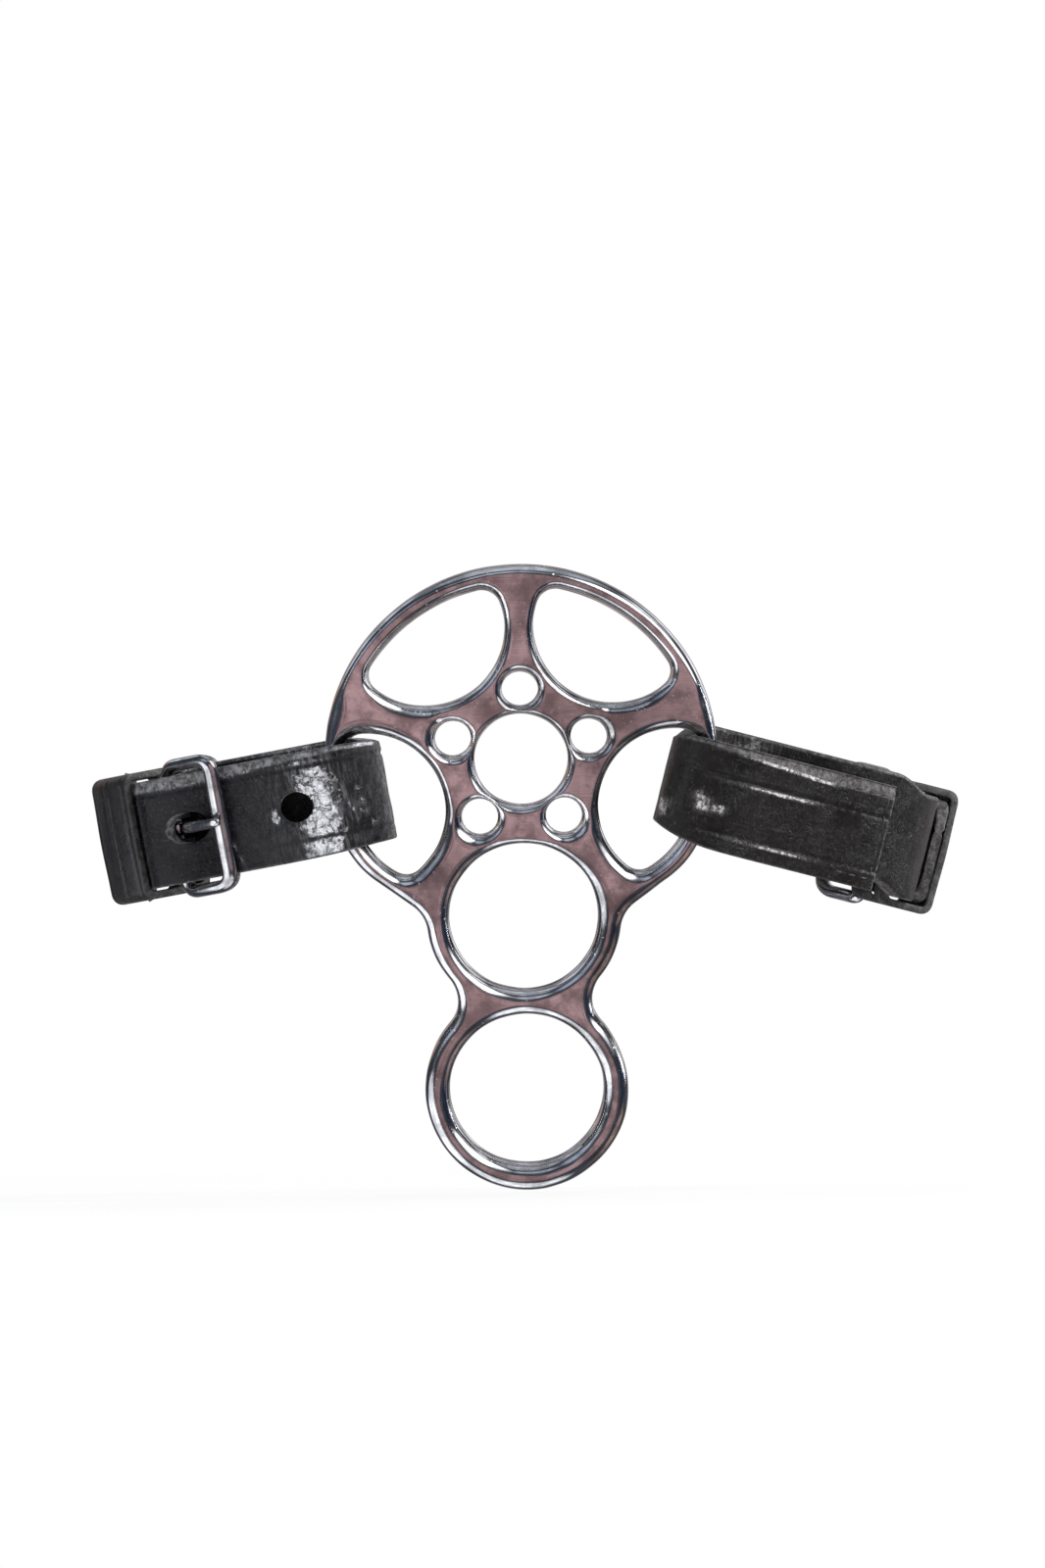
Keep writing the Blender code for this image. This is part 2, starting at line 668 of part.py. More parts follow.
def profile_solid(strap, outline, hole, start, end, steps):
    """Profile in the plane along and out from a strap, with one hole, drawn across the strap."""
    shape = bmesh.new()
    levels = [start + (end - start) * index / steps for index in range(steps + 1)]
    edges = ([], [])
    for points in (outline, hole):
        rings = []
        for across in levels:
            rings.append([shape.verts.new(strap.place(point.x, point.y, across)) for point in points])
        for ring, follower in zip(rings, rings[1:]):
            for index in range(len(ring)):
                after = (index + 1) % len(ring)
                shape.faces.new((ring[index], ring[after], follower[after], follower[index]))
        for group, ring in zip(edges, (rings[0], rings[-1])):
            for index in range(len(ring)):
                group.append(shape.edges.get((ring[index], ring[(index + 1) % len(ring)])))
    for group in edges:
        bmesh.ops.triangle_fill(shape, use_beauty=True, edges=group)
    return shape


def ring_points(centre, radius, start, end, count):
    """Points of an arc in the plane along and out from a strap."""
    return [centre + polar(radius, start + (end - start) * index / count) for index in range(count + 1)]


def tongue_line():
    """Heel bar, front bar and tip along the tongue, in the plane along and out from a strap."""
    heel = Vector((HEEL_BAR_PLACE, HEEL_BAR_OUT))
    front = Vector((FRONT_BAR_PLACE, FRONT_BAR_OUT))
    lift = math.asin((ROD_RADIUS + SEAT + TONGUE_THICKNESS / 2.0) / (front - heel).length)
    forward = polar(1.0, direction(heel, front) - lift)
    reach = (front - heel).length * math.cos(lift)
    return heel, heel + forward * reach, heel + forward * (reach + ROD_RADIUS + TONGUE_OVERHANG)


def tongue(name, strap):
    """Buckle tongue: an eye round the heel bar and a shank that rests on the front bar."""
    heel, rest, tip = tongue_line()
    forward = (tip - heel).normalized()
    sideways = Vector((-forward.y, forward.x))
    eye = ROD_RADIUS + SEAT + TONGUE_THICKNESS * 0.6
    half = TONGUE_THICKNESS / 2.0
    shank_start = math.asin(half / eye)
    heading = math.atan2(forward.y, forward.x)
    outline = ring_points(heel, eye, heading + shank_start, heading + 2.0 * math.pi - shank_start, 12)
    outline.append(rest - sideways * half)
    outline.append(tip - forward * half - sideways * half)
    outline.append(tip - sideways * half * 0.4)
    outline.append(tip + sideways * half * 0.4)
    outline.append(tip - forward * half + sideways * half)
    outline.append(rest + sideways * half)
    hole = ring_points(heel, ROD_RADIUS + SEAT, 0.0, 2.0 * math.pi, 12)[:-1]
    half_width = TONGUE_WIDTH / 2.0
    item = link_mesh(name, profile_solid(strap, outline, hole, -half_width, half_width, 1), BUCKLE_STEEL)
    set_origin(item, strap.place(HEEL_BAR_PLACE, HEEL_BAR_OUT, 0.0))
    return item


def set_origin(item, point):
    """Move an object's origin to a point and leave its shape where it is."""
    for vertex in item.data.vertices:
        vertex.co = vertex.co - point
    item.location = point


def chape(name, strap):
    """Leather fold that holds the buckle's heel bar on the base layer, slotted for the tongue."""
    heel = Vector((HEEL_BAR_PLACE, HEEL_BAR_OUT))
    bottom = STRAP_THICKNESS / 2.0 + SEAT
    tail_top = min(CHAPE_TAIL_TOP, HEEL_BAR_OUT)
    outline = ring_points(heel, CHAPE_ROUND, -math.pi / 2.0, -math.pi * 1.6, 10)
    outline.append(Vector((HEEL_BAR_PLACE + CHAPE_TAIL_LENGTH * 0.42, tail_top)))
    outline.append(Vector((CHAPE_TAIL_END, tail_top)))
    outline.append(Vector((CHAPE_TAIL_END, bottom)))
    outline.append(Vector((HEEL_BAR_PLACE + CHAPE_TAIL_LENGTH / 2.0, bottom)))
    hole = ring_points(heel, ROD_RADIUS + SEAT, 0.0, 2.0 * math.pi, 10)[:-1]
    half_width = STRAP_WIDTH / 2.0 - CHAPE_NARROWING
    solid = profile_solid(strap, outline, hole, -half_width, half_width, 2)
    item = link_mesh(name, solid, CHAPE_LEATHER)
    slot = bmesh.new()
    start = HEEL_BAR_PLACE - CHAPE_ROUND - CUT_OVERRUN
    end = HEEL_BAR_PLACE + CHAPE_SLOT_LENGTH
    low = HEEL_BAR_OUT - ROD_RADIUS - 2.0 * SEAT - TONGUE_THICKNESS
    high = HEEL_BAR_OUT + CHAPE_ROUND + CUT_OVERRUN
    half_slot = TONGUE_WIDTH / 2.0 + CHAPE_SLOT_GAP
    rings = []
    for across in (-half_slot, half_slot):
        spots = ((start, low), (end, low), (end, high), (start, high))
        rings.append([strap.place(along, out, across) for along, out in spots])
    loft(slot, rings)
    cut_away(item, link_mesh(name + "_slot", slot, None))
    return item


def frame(name, strap):
    """Buckle frame of round rod, low at the heel bar and high at the front bar."""
    shape = bmesh.new()
    loft(shape, swept_ring(strap, frame_path(), ROD_RADIUS, ROD_SIDES), closed=True)
    return link_mesh(name, shape, BUCKLE_STEEL)


def keeper_loop(half_width, low, high, rounding):
    """Rounded rectangle across and out from a strap."""
    points = []
    for across_sign, out_sign, start in ((1, 1, 0.0), (-1, 1, 0.5), (-1, -1, 1.0), (1, -1, 1.5)):
        centre_across = across_sign * (half_width - rounding)
        centre_out = (high - rounding) if out_sign > 0 else (low + rounding)
        for step in range(3):
            angle = math.pi * (start + 0.25 * step)
            spot = polar(rounding, angle)
            points.append((centre_across + spot.x, centre_out + spot.y))
    return points


def keeper(name, strap, place, low, high):
    """Leather loop round the layers of a strap, low and high being the stack's faces."""
    inner_half = STRAP_WIDTH / 2.0 + KEEPER_PLAY
    inner = keeper_loop(inner_half, low - KEEPER_PLAY, high + KEEPER_PLAY, KEEPER_ROUNDING / 2.0)
    wall = KEEPER_THICKNESS
    outer_values = (inner_half + wall, low - KEEPER_PLAY - wall, high + KEEPER_PLAY + wall)
    outer = keeper_loop(*outer_values, KEEPER_ROUNDING)
    places = [place + KEEPER_WIDTH * share for share in (-0.5, 0.0, 0.5)]
    shape = bmesh.new()
    walls = []
    for points in (outer, inner):
        walls.append([[shape.verts.new(strap.place(along, out, across)) for across, out in points]
                      for along in places])
    for rings in walls:
        for ring, follower in zip(rings, rings[1:]):
            for index in range(len(ring)):
                after = (index + 1) % len(ring)
                shape.faces.new((ring[index], ring[after], follower[after], follower[index]))
    for layer in (0, -1):
        ring, follower = walls[0][layer], walls[1][layer]
        for index in range(len(ring)):
            after = (index + 1) % len(ring)
            shape.faces.new((ring[index], ring[after], follower[after], follower[index]))
    return link_mesh(name, shape, KEEPER_LEATHER)


def pad_values(strap, along):
    """Half width and thickness of the nose pad at a length along the strap."""
    crown_start = SLIDING_KEEPER_PLACE + KEEPER_WIDTH
    share = eased((along - crown_start) / PAD_BLEND_LENGTH)
    half_width = STRAP_WIDTH / 2.0 - PAD_EDGE_INSET + PAD_EXTRA_WIDTH / 2.0 * share
    return half_width, PAD_THICKNESS + (PAD_CROWN - PAD_THICKNESS) * share


def pad_ring(strap, along):
    """Section of the nose pad, flat on the strap and crowned towards the nose."""
    half_width, thickness = pad_values(strap, along)
    top = -STRAP_THICKNESS / 2.0 - SEAT
    ring = []
    across_shares = (1.0, 1.0, 0.8, 0.4, -0.4, -0.8, -1.0, -1.0)
    depth_shares = (0.0, 0.55, 0.92, 1.0, 1.0, 0.92, 0.55, 0.0)
    for across, depth in zip(across_shares, depth_shares):
        ring.append(strap.place(along, top - depth * thickness, across * half_width))
    return ring


def nose_pad(near, far):
    """Soft lining between the noseband and the nose."""
    places = sampled(PAD_START, near.half_length, PAD_STEP)
    rings = [pad_ring(near, along) for along in places]
    rings += [pad_ring(far, along) for along in reversed(places[:-1])]
    shape = bmesh.new()
    loft(shape, rings)
    return link_mesh("nose_pad", shape, PAD_LEATHER)


def parented(child, parent):
    """Parent one object to another and leave it in its place."""
    child.parent = parent
    bpy.context.view_layer.update()
    child.matrix_parent_inverse = parent.matrix_world.inverted()


def pivot(name, point):
    """Empty that marks a joint's axis."""
    item = bpy.data.objects.new(name, None)
    item.location = point
    item.empty_display_size = ROD_RADIUS
    bpy.context.collection.objects.link(item)
    bpy.context.view_layer.update()
    return item


def buckle_set(prefix, strap, stack_low):
    """Chape, frame, tongue and both keepers of one buckled strap end."""
    half = STRAP_THICKNESS / 2.0
    tall = BILLET_OVER_TAIL + half
    flat = LAYERS_TOGETHER + half
    fixed = keeper(prefix + "_fixed_keeper", strap, FIXED_KEEPER_PLACE, stack_low, tall)
    slider = keeper(prefix + "_sliding_keeper", strap, SLIDING_KEEPER_PLACE, stack_low, flat)
    axis = pivot(prefix + "_keeper_axis", strap_bend_centre(strap))
    parented(slider, axis)
    rest = [chape(prefix + "_chape", strap), frame(prefix + "_buckle_frame", strap)]
    return rest + [tongue(prefix + "_buckle_tongue", strap), fixed, axis]


def strap_bend_centre(strap):
    """Centre of the circle that a strap's base layer follows."""
    x = strap.side * (strap.bend_start * math.cos(strap.drop) + strap.rise * math.sin(strap.drop))
    z = strap.rise * math.cos(strap.drop) - strap.bend_start * math.sin(strap.drop)
    return Vector((x, 0.0, z))


def build():
    """Build the whole hackamore."""
    clear_scene()
    cheek("near_cheek", -1)
    cheek("far_cheek", 1)

    nose = {}
    curb = {}
    for end in (-1, 1):
        nose_reaches = (WHEEL_RADIUS - NOSE_FOLD_INSET, WHEEL_RADIUS - NOSE_BEND_INSET)
        curb_reaches = (WHEEL_RADIUS - CURB_FOLD_INSET, WHEEL_RADIUS + CURB_BEND_OFFSET)
        nose_values = (NOSE_DROP, NOSE_RISE, NOSE_LOOP_GAP, *nose_reaches)
        curb_values = (CURB_DROP, CURB_RISE, CURB_LOOP_GAP, *curb_reaches)
        nose[end] = StrapEnd(-1, end, *nose_values)
        curb[end] = StrapEnd(1, end, *curb_values)

    nose_halves = [billet_half(nose[end]) for end in (-1, 1)]
    noseband = strap_mesh("noseband_strap", nose_halves[0], middle_station(nose[-1]),
                          nose_halves[1], NOSE_LEATHER)
    curb_strap = strap_mesh("curb_strap", lap_half(curb[-1]), middle_station(curb[-1]),
                            billet_half(curb[1]), CURB_LEATHER)
    punched = (("near_nose", noseband, nose[-1]), ("far_nose", noseband, nose[1]),
               ("far_curb", curb_strap, curb[1]))
    for prefix, item, strap in punched:
        punch(item, strap, prefix + "_first_hole", FIRST_HOLE_PLACE, 0.0)
        punch(item, strap, prefix + "_buckle_hole", BUCKLE_HOLE_PLACE, BUCKLE_SLOT_EXTRA)

    pad_bottom = -STRAP_THICKNESS / 2.0 - SEAT - PAD_THICKNESS
    strap_bottom = -STRAP_THICKNESS / 2.0
    buckle_set("near_nose", nose[-1], pad_bottom)
    buckle_set("far_nose", nose[1], pad_bottom)
    curb_set = buckle_set("far_curb", curb[1], strap_bottom)
    nose_pad(nose[-1], nose[1])

    turning = pivot("curb_axis", Vector((0.0, 0.0, 0.0)))
    parented(curb_strap, turning)
    for piece in curb_set:
        parented(piece, turning)


build()
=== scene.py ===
import logging
import math
from dataclasses import dataclass, replace
from enum import Enum
from typing import Sequence

import bpy
import numpy as np
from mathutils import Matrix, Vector


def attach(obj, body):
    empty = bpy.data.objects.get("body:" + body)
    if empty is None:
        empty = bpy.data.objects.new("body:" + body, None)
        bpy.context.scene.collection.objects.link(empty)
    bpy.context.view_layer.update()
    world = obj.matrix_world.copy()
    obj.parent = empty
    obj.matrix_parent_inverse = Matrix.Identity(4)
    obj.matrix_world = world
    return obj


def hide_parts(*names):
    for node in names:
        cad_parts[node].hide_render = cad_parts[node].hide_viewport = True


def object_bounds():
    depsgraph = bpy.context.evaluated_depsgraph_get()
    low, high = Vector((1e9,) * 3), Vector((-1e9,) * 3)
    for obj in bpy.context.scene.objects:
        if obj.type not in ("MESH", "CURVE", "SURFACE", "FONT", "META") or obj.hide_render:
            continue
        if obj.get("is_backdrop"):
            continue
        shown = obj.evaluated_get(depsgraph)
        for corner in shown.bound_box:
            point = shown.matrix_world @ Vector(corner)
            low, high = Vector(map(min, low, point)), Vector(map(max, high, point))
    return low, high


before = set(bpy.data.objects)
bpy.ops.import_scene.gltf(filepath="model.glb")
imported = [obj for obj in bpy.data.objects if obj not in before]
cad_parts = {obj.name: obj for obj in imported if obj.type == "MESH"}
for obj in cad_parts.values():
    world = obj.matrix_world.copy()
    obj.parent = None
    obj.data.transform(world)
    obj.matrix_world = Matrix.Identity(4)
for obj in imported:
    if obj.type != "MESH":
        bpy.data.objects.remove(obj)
CAD_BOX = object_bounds()
LOG = logging.getLogger("hackamore")
MM = 0.001
IMAGE_WIDTH = 1066
IMAGE_HEIGHT = 1600
CHEEK_SPACING = 106.0 * MM
CHEEK_LEAN = math.radians(10.0)
RIM_RADIUS = 42.6 * MM
NOISE_LATTICE = 64
SHARP_ANGLE = math.radians(50.0)
WHITE = (1.0, 1.0, 1.0)

Array = np.ndarray
Colour = tuple[float, float, float]
Socket = bpy.types.NodeSocket
Faces = list[np.ndarray]


class Side(Enum):
    """Side of the horse that a piece lies on, as the sign of Y."""

    NEAR = -1
    FAR = 1


class StrapEndKind(Enum):
    """How one end of a strap closes its loop round the cheek's rim."""

    PUNCHED = "punched"
    STITCHED = "stitched"


class KeeperKind(Enum):
    """Whether a keeper is sewn to its strap or slides along it."""

    FIXED = "fixed"
    SLIDING = "sliding"


# Numpy helpers

def eased(share: Array) -> Array:
    """Smooth step of a share from 0 to 1."""
    share = np.clip(share, 0.0, 1.0)
    return share * share * (3.0 - 2.0 * share)


def bump(distance: Array, width: float) -> Array:
    """Bell of height 1 at distance 0: exp of minus the square of distance over width."""
    return np.exp(-np.square(distance / width))


def polar(radius: float, angle: float) -> complex:
    """Point of a plane as a complex number, from its radius and angle."""
    return radius * complex(math.cos(angle), math.sin(angle))


def unit(vectors: Array) -> Array:
    """Vectors of the same directions with length 1."""
    return vectors / np.linalg.norm(vectors, axis=-1, keepdims=True)


def headings(path: Array, closed: bool) -> Array:
    """Unit directions of travel at the points of a path."""
    before = np.concatenate([path[-1:] if closed else path[:1], path[:-1]])
    after = np.concatenate([path[1:], path[:1] if closed else path[-1:]])
    return unit(after - before)


def path_lengths(path: Array) -> Array:
    """Length travelled up to each point of a path."""
    return np.cumsum(np.linalg.norm(np.diff(path, axis=0, prepend=path[:1]), axis=1))


def surface_places(along: Array, around: Array) -> Array:
    """Places on a surface in centimetres, from lengths along and round it."""
    return np.stack(np.broadcast_arrays(along, around), axis=-1) * 100.0


def value_noise(first: Array, second: Array, seed: int) -> Array:
    """Smooth noise on a plane.

    Formula: random values from -1 to 1 stand on a lattice of whole numbers, and each point
    takes the four around it, weighted by the smooth step of its place between them.

    Args:
        first: First coordinate, in lattice steps.
        second: Second coordinate, in lattice steps.
        seed: Seed of the lattice's values.

    Returns:
        The noise at each point, from -1 to 1.
    """
    lattice = np.random.RandomState(seed).uniform(-1.0, 1.0, (NOISE_LATTICE, NOISE_LATTICE))
    low_first, low_second = np.floor(first).astype(int), np.floor(second).astype(int)
    share_first, share_second = eased(first - low_first), eased(second - low_second)
    near, far = low_first % NOISE_LATTICE, (low_first + 1) % NOISE_LATTICE
    low, high = [lattice[near, row] * (1 - share_first) + lattice[far, row] * share_first
                 for row in (low_second % NOISE_LATTICE, (low_second + 1) % NOISE_LATTICE)]
    return low * (1 - share_second) + high * share_second


def through_knots(knots: Sequence[tuple[float, float]], along: Array) -> Array:
    """Value at each place, eased from one knot to the next and level past the last.

    Args:
        knots: Places and values, in order.
        along: Places to read.

    Returns:
        The values.
    """
    places, values = np.array(knots).T
    low = np.clip(np.searchsorted(places, along, side="right") - 1, 0, len(knots) - 2)
    share = eased((along - places[low]) / (places[low + 1] - places[low]))
    return values[low] + (values[low + 1] - values[low]) * share


def loft_faces(rings: int, points: int, closed: bool = False) -> Faces:
    """Quads between closed rings of points, with a cap on each end of an open loft.

    Args:
        rings: Number of rings.
        points: Number of points in a ring.
        closed: Whether the last ring joins the first.

    Returns:
        Groups of vertex numbers. The middles of the caps come after the last ring.
    """
    ring, point = np.arange(rings if closed else rings - 1)[:, None], np.arange(points)
    after, follower = (point + 1) % points, (ring + 1) % rings
    corners = [start * points + spot for start, spot in
               ((ring, point), (ring, after), (follower, after), (follower, point))]
    faces = [np.stack(corners, axis=-1).reshape(-1, 4)]
    total = rings * points
    for start, middle, order in () if closed else ((0, total, -1), (total - points, total + 1, 1)):
        cap = np.stack([start + point, start + after, np.full(points, middle)], axis=-1)
        faces.append(cap[:, ::order])
    return faces


def with_middles(rings: Array, middles: Array | None = None) -> Array:
    """Values of lofted rings in one list, followed by those of the middles of both ends.

    Args:
        rings: Values by ring and place in it.
        middles: Values of the two middles, or None for the mean of each end ring.

    Returns:
        The list.
    """
    middles = rings[[0, -1]].mean(1) if middles is None else middles
    return np.concatenate([rings.reshape(-1, *rings.shape[2:]), middles])


def signed_volume(points: Array, faces: Sequence[Array]) -> float:
    """Volume inside a closed mesh, negative where its faces point inwards."""
    total = 0.0
    for group in faces:
        first = points[group[:, 0]]
        for corner in range(1, group.shape[1] - 1):
            second, third = points[group[:, corner]], points[group[:, corner + 1]]
            total += float(np.einsum("ij,ij->i", first, np.cross(second, third)).sum()) / 6.0
    return total


def make_piece(name: str, points: Array, faces: Sequence[Array], uv: Array | None = None,
               layers: dict[str, Array] | None = None) -> bpy.types.Object:
    """Make a smooth mesh object from arrays, with its faces pointing out.

    Args:
        name: Name of the piece.
        points: Vertex places, in metres.
        faces: Groups of faces, each an array of vertex numbers.
        uv: Place of each vertex on the surface, in centimetres, or None.
        layers: Named numbers for each vertex, or None.

    Returns:
        The object, at the origin.
    """
    if signed_volume(points, faces) < 0.0:
        faces = [group[:, ::-1] for group in faces]
    mesh = bpy.data.meshes.new(name)
    corners = np.concatenate([group.ravel() for group in faces])
    sizes = np.concatenate([np.full(len(group), group.shape[1]) for group in faces])
    mesh.vertices.add(len(points))
    mesh.vertices.foreach_set("co", np.asarray(points, np.float32).ravel())
    mesh.loops.add(len(corners))
    mesh.loops.foreach_set("vertex_index", corners.astype(np.int32))
    mesh.polygons.add(len(sizes))
    starts = np.concatenate([[0], np.cumsum(sizes)[:-1]])
    mesh.polygons.foreach_set("loop_start", starts.astype(np.int32))
    if uv is not None:
        mesh.uv_layers.new(name="surface")
        mesh.uv_layers["surface"].data.foreach_set("uv", np.asarray(uv[corners], np.float32).ravel())
    for layer, values in (layers or {}).items():
        made = mesh.attributes.new(layer, "FLOAT", "POINT")
        made.data.foreach_set("value", np.asarray(values, np.float32))
    mesh.update(calc_edges=True)
    mesh.validate()
    mesh.shade_smooth()
    piece = bpy.data.objects.new(name, mesh)
    bpy.context.collection.objects.link(piece)
    return piece


def join_shells(shells: Sequence[tuple[Array, Faces]]) -> tuple[Array, Faces]:
    """Put several shells into one list of points and groups of faces.

    Args:
        shells: Points and groups of faces of each shell.

    Returns:
        All points, and all groups with their numbers moved up.
    """
    points, groups, start = [], [], 0
    for shell_points, shell_faces in shells:
        inwards = signed_volume(shell_points, shell_faces) < 0.0
        for group in shell_faces:
            groups.append((group[:, ::-1] if inwards else group) + start)
        points.append(shell_points)
        start += len(shell_points)
    return np.concatenate(points), groups


def cut_hole(piece: bpy.types.Object, rings: Array) -> None:
    """Cut the space of a closed lofted cutter out of a piece and apply the cut.

    Args:
        piece: Piece to cut.
        rings: Points of the cutter by ring and place in it.
    """
    cutter = make_piece("cutter", with_middles(rings), loft_faces(*rings.shape[:2]))
    change = piece.modifiers.new("hole", "BOOLEAN")
    change.operation = "DIFFERENCE"
    change.solver = "EXACT"
    change.object = cutter
    graph = bpy.context.evaluated_depsgraph_get()
    graph.update()
    cut = bpy.data.meshes.new_from_object(piece.evaluated_get(graph), depsgraph=graph)
    spent = (piece.data, cutter.data)
    piece.modifiers.clear()
    piece.data = cut
    cut.name = piece.name
    bpy.data.objects.remove(cutter)
    for mesh in spent:
        bpy.data.meshes.remove(mesh)


def sharpen(piece: bpy.types.Object) -> None:
    """Shade a piece smooth, apart from its sharp edges."""
    piece.data.shade_smooth()
    piece.data.set_sharp_from_angle(angle=SHARP_ANGLE)


# Node tools

class Nodes:
    """Short hand for a node tree: makes nodes, sets their sockets and links them."""

    def __init__(self, tree: bpy.types.NodeTree) -> None:
        """Take the tree to work in."""
        self.tree = tree

    def fill(self, node: bpy.types.Node, inputs: dict[str | int, object]) -> None:
        """Link each named input of a node to another node's socket, or give it a plain value."""
        for name, value in inputs.items():
            socket = node.inputs[name]
            if isinstance(value, Socket):
                self.tree.links.new(value, socket)
            else:
                socket.default_value = (*value, 1.0) if socket.type == "RGBA" else value

    def add(self, kind: str, settings: dict[str, object] | None = None,
            inputs: dict[str | int, object] | None = None) -> bpy.types.Node:
        """Add a node.

        Args:
            kind: Node type, without its common prefix.
            settings: Values of the node's own properties.
            inputs: Values or other nodes' sockets for its inputs.

        Returns:
            The node.
        """
        node = self.tree.nodes.new("ShaderNode" + kind)
        for name, value in (settings or {}).items():
            setattr(node, name, value)
        self.fill(node, inputs or {})
        return node

    def math(self, operation: str, *values: object) -> Socket:
        """Add a Math node on two or three values and return its output."""
        return self.add("Math", {"operation": operation}, dict(enumerate(values))).outputs[0]

    def times(self, first: object, second: object) -> Socket:
        """Product of two values."""
        return self.math("MULTIPLY", first, second)

    def fused(self, value: object, factor: object, added: object) -> Socket:
        """Value times a factor, plus another value."""
        return self.math("MULTIPLY_ADD", value, factor, added)

    def most(self, first: object, *others: object) -> Socket:
        """Largest of several values."""
        for other in others:
            first = self.math("MAXIMUM", first, other)
        return first

    def mix(self, share: object, first: object, second: object) -> Socket:
        """Mix two colours by a share and return the colour."""
        return self.add("Mix", {"data_type": "RGBA"}, {0: share, 6: first, 7: second}).outputs[2]

    def spread(self, value: object, low: float, high: float, start: float, end: float) -> Socket:
        """Carry a value from one span smoothly over to another and return it."""
        inputs = {0: value, 1: low, 2: high, 3: start, 4: end}
        return self.add("MapRange", {"interpolation_type": "SMOOTHSTEP"}, inputs).outputs[0]

    def noise(self, vector: object, scale: float, detail: float = 3.0, roughness: float = 0.5) -> Socket:
        """Add a Noise texture and return its value."""
        inputs = {"Vector": vector, "Scale": scale, "Detail": detail, "Roughness": roughness}
        return self.add("TexNoise", None, inputs).outputs[0]

    def layer(self, name: str) -> Socket:
        """Number that a mesh holds at each vertex under a name."""
        return self.add("Attribute", {"attribute_name": name}).outputs["Fac"]

    def mapped(self, vector: object, **settings: tuple[float, float, float]) -> Socket:
        """Vector turned, stretched or moved by a Mapping node."""
        return self.add("Mapping", None, {"Vector": vector, **settings}).outputs[0]

    def bump(self, height: object, strength: float, distance: float) -> Socket:
        """Normal bent by a height."""
        inputs = {"Strength": strength, "Distance": distance, "Height": height}
        return self.add("Bump", None, inputs).outputs[0]

    def seen_by_eye(self) -> Socket:
        """One for rays of the camera and of reflections, else nought."""
        path = self.add("LightPath").outputs
        return self.most(path["Is Camera Ray"], path["Is Glossy Ray"])


def group_tree(name: str, vectors: Sequence[str], values: Sequence[str],
               outputs: Sequence[str]) -> tuple[bpy.types.NodeTree, Nodes, bpy.types.Node, bpy.types.Node]:
    """Make an empty node group with its sockets.

    Args:
        name: Name of the group.
        vectors: Names of its vector inputs.
        values: Names of its number inputs.
        outputs: Names of its outputs, all numbers.

    Returns:
        The group, its node tools, and its input and output nodes.
    """
    tree = bpy.data.node_groups.new(name, "ShaderNodeTree")
    for names, way, kind in ((vectors, "INPUT", "Vector"), (values, "INPUT", "Float"),
                             (outputs, "OUTPUT", "Float")):
        for socket in names:
            tree.interface.new_socket(name=socket, in_out=way, socket_type="NodeSocket" + kind)
    return tree, Nodes(tree), tree.nodes.new("NodeGroupInput"), tree.nodes.new("NodeGroupOutput")


def cleared_nodes(owner: bpy.types.World | bpy.types.Material) -> Nodes:
    """Node tools of a world or a material, with its first nodes cleared away."""
    owner.use_nodes = True
    owner.node_tree.nodes.clear()
    return Nodes(owner.node_tree)


def start_material(name: str) -> tuple[bpy.types.Material, Nodes, bpy.types.Node, Socket]:
    """Make a material and return it with its node tools, its shader and the object's places."""
    made = bpy.data.materials.new(name)
    made.use_nodes = True
    tools = Nodes(made.node_tree)
    return made, tools, made.node_tree.nodes["Principled BSDF"], tools.add("TexCoord").outputs["Object"]


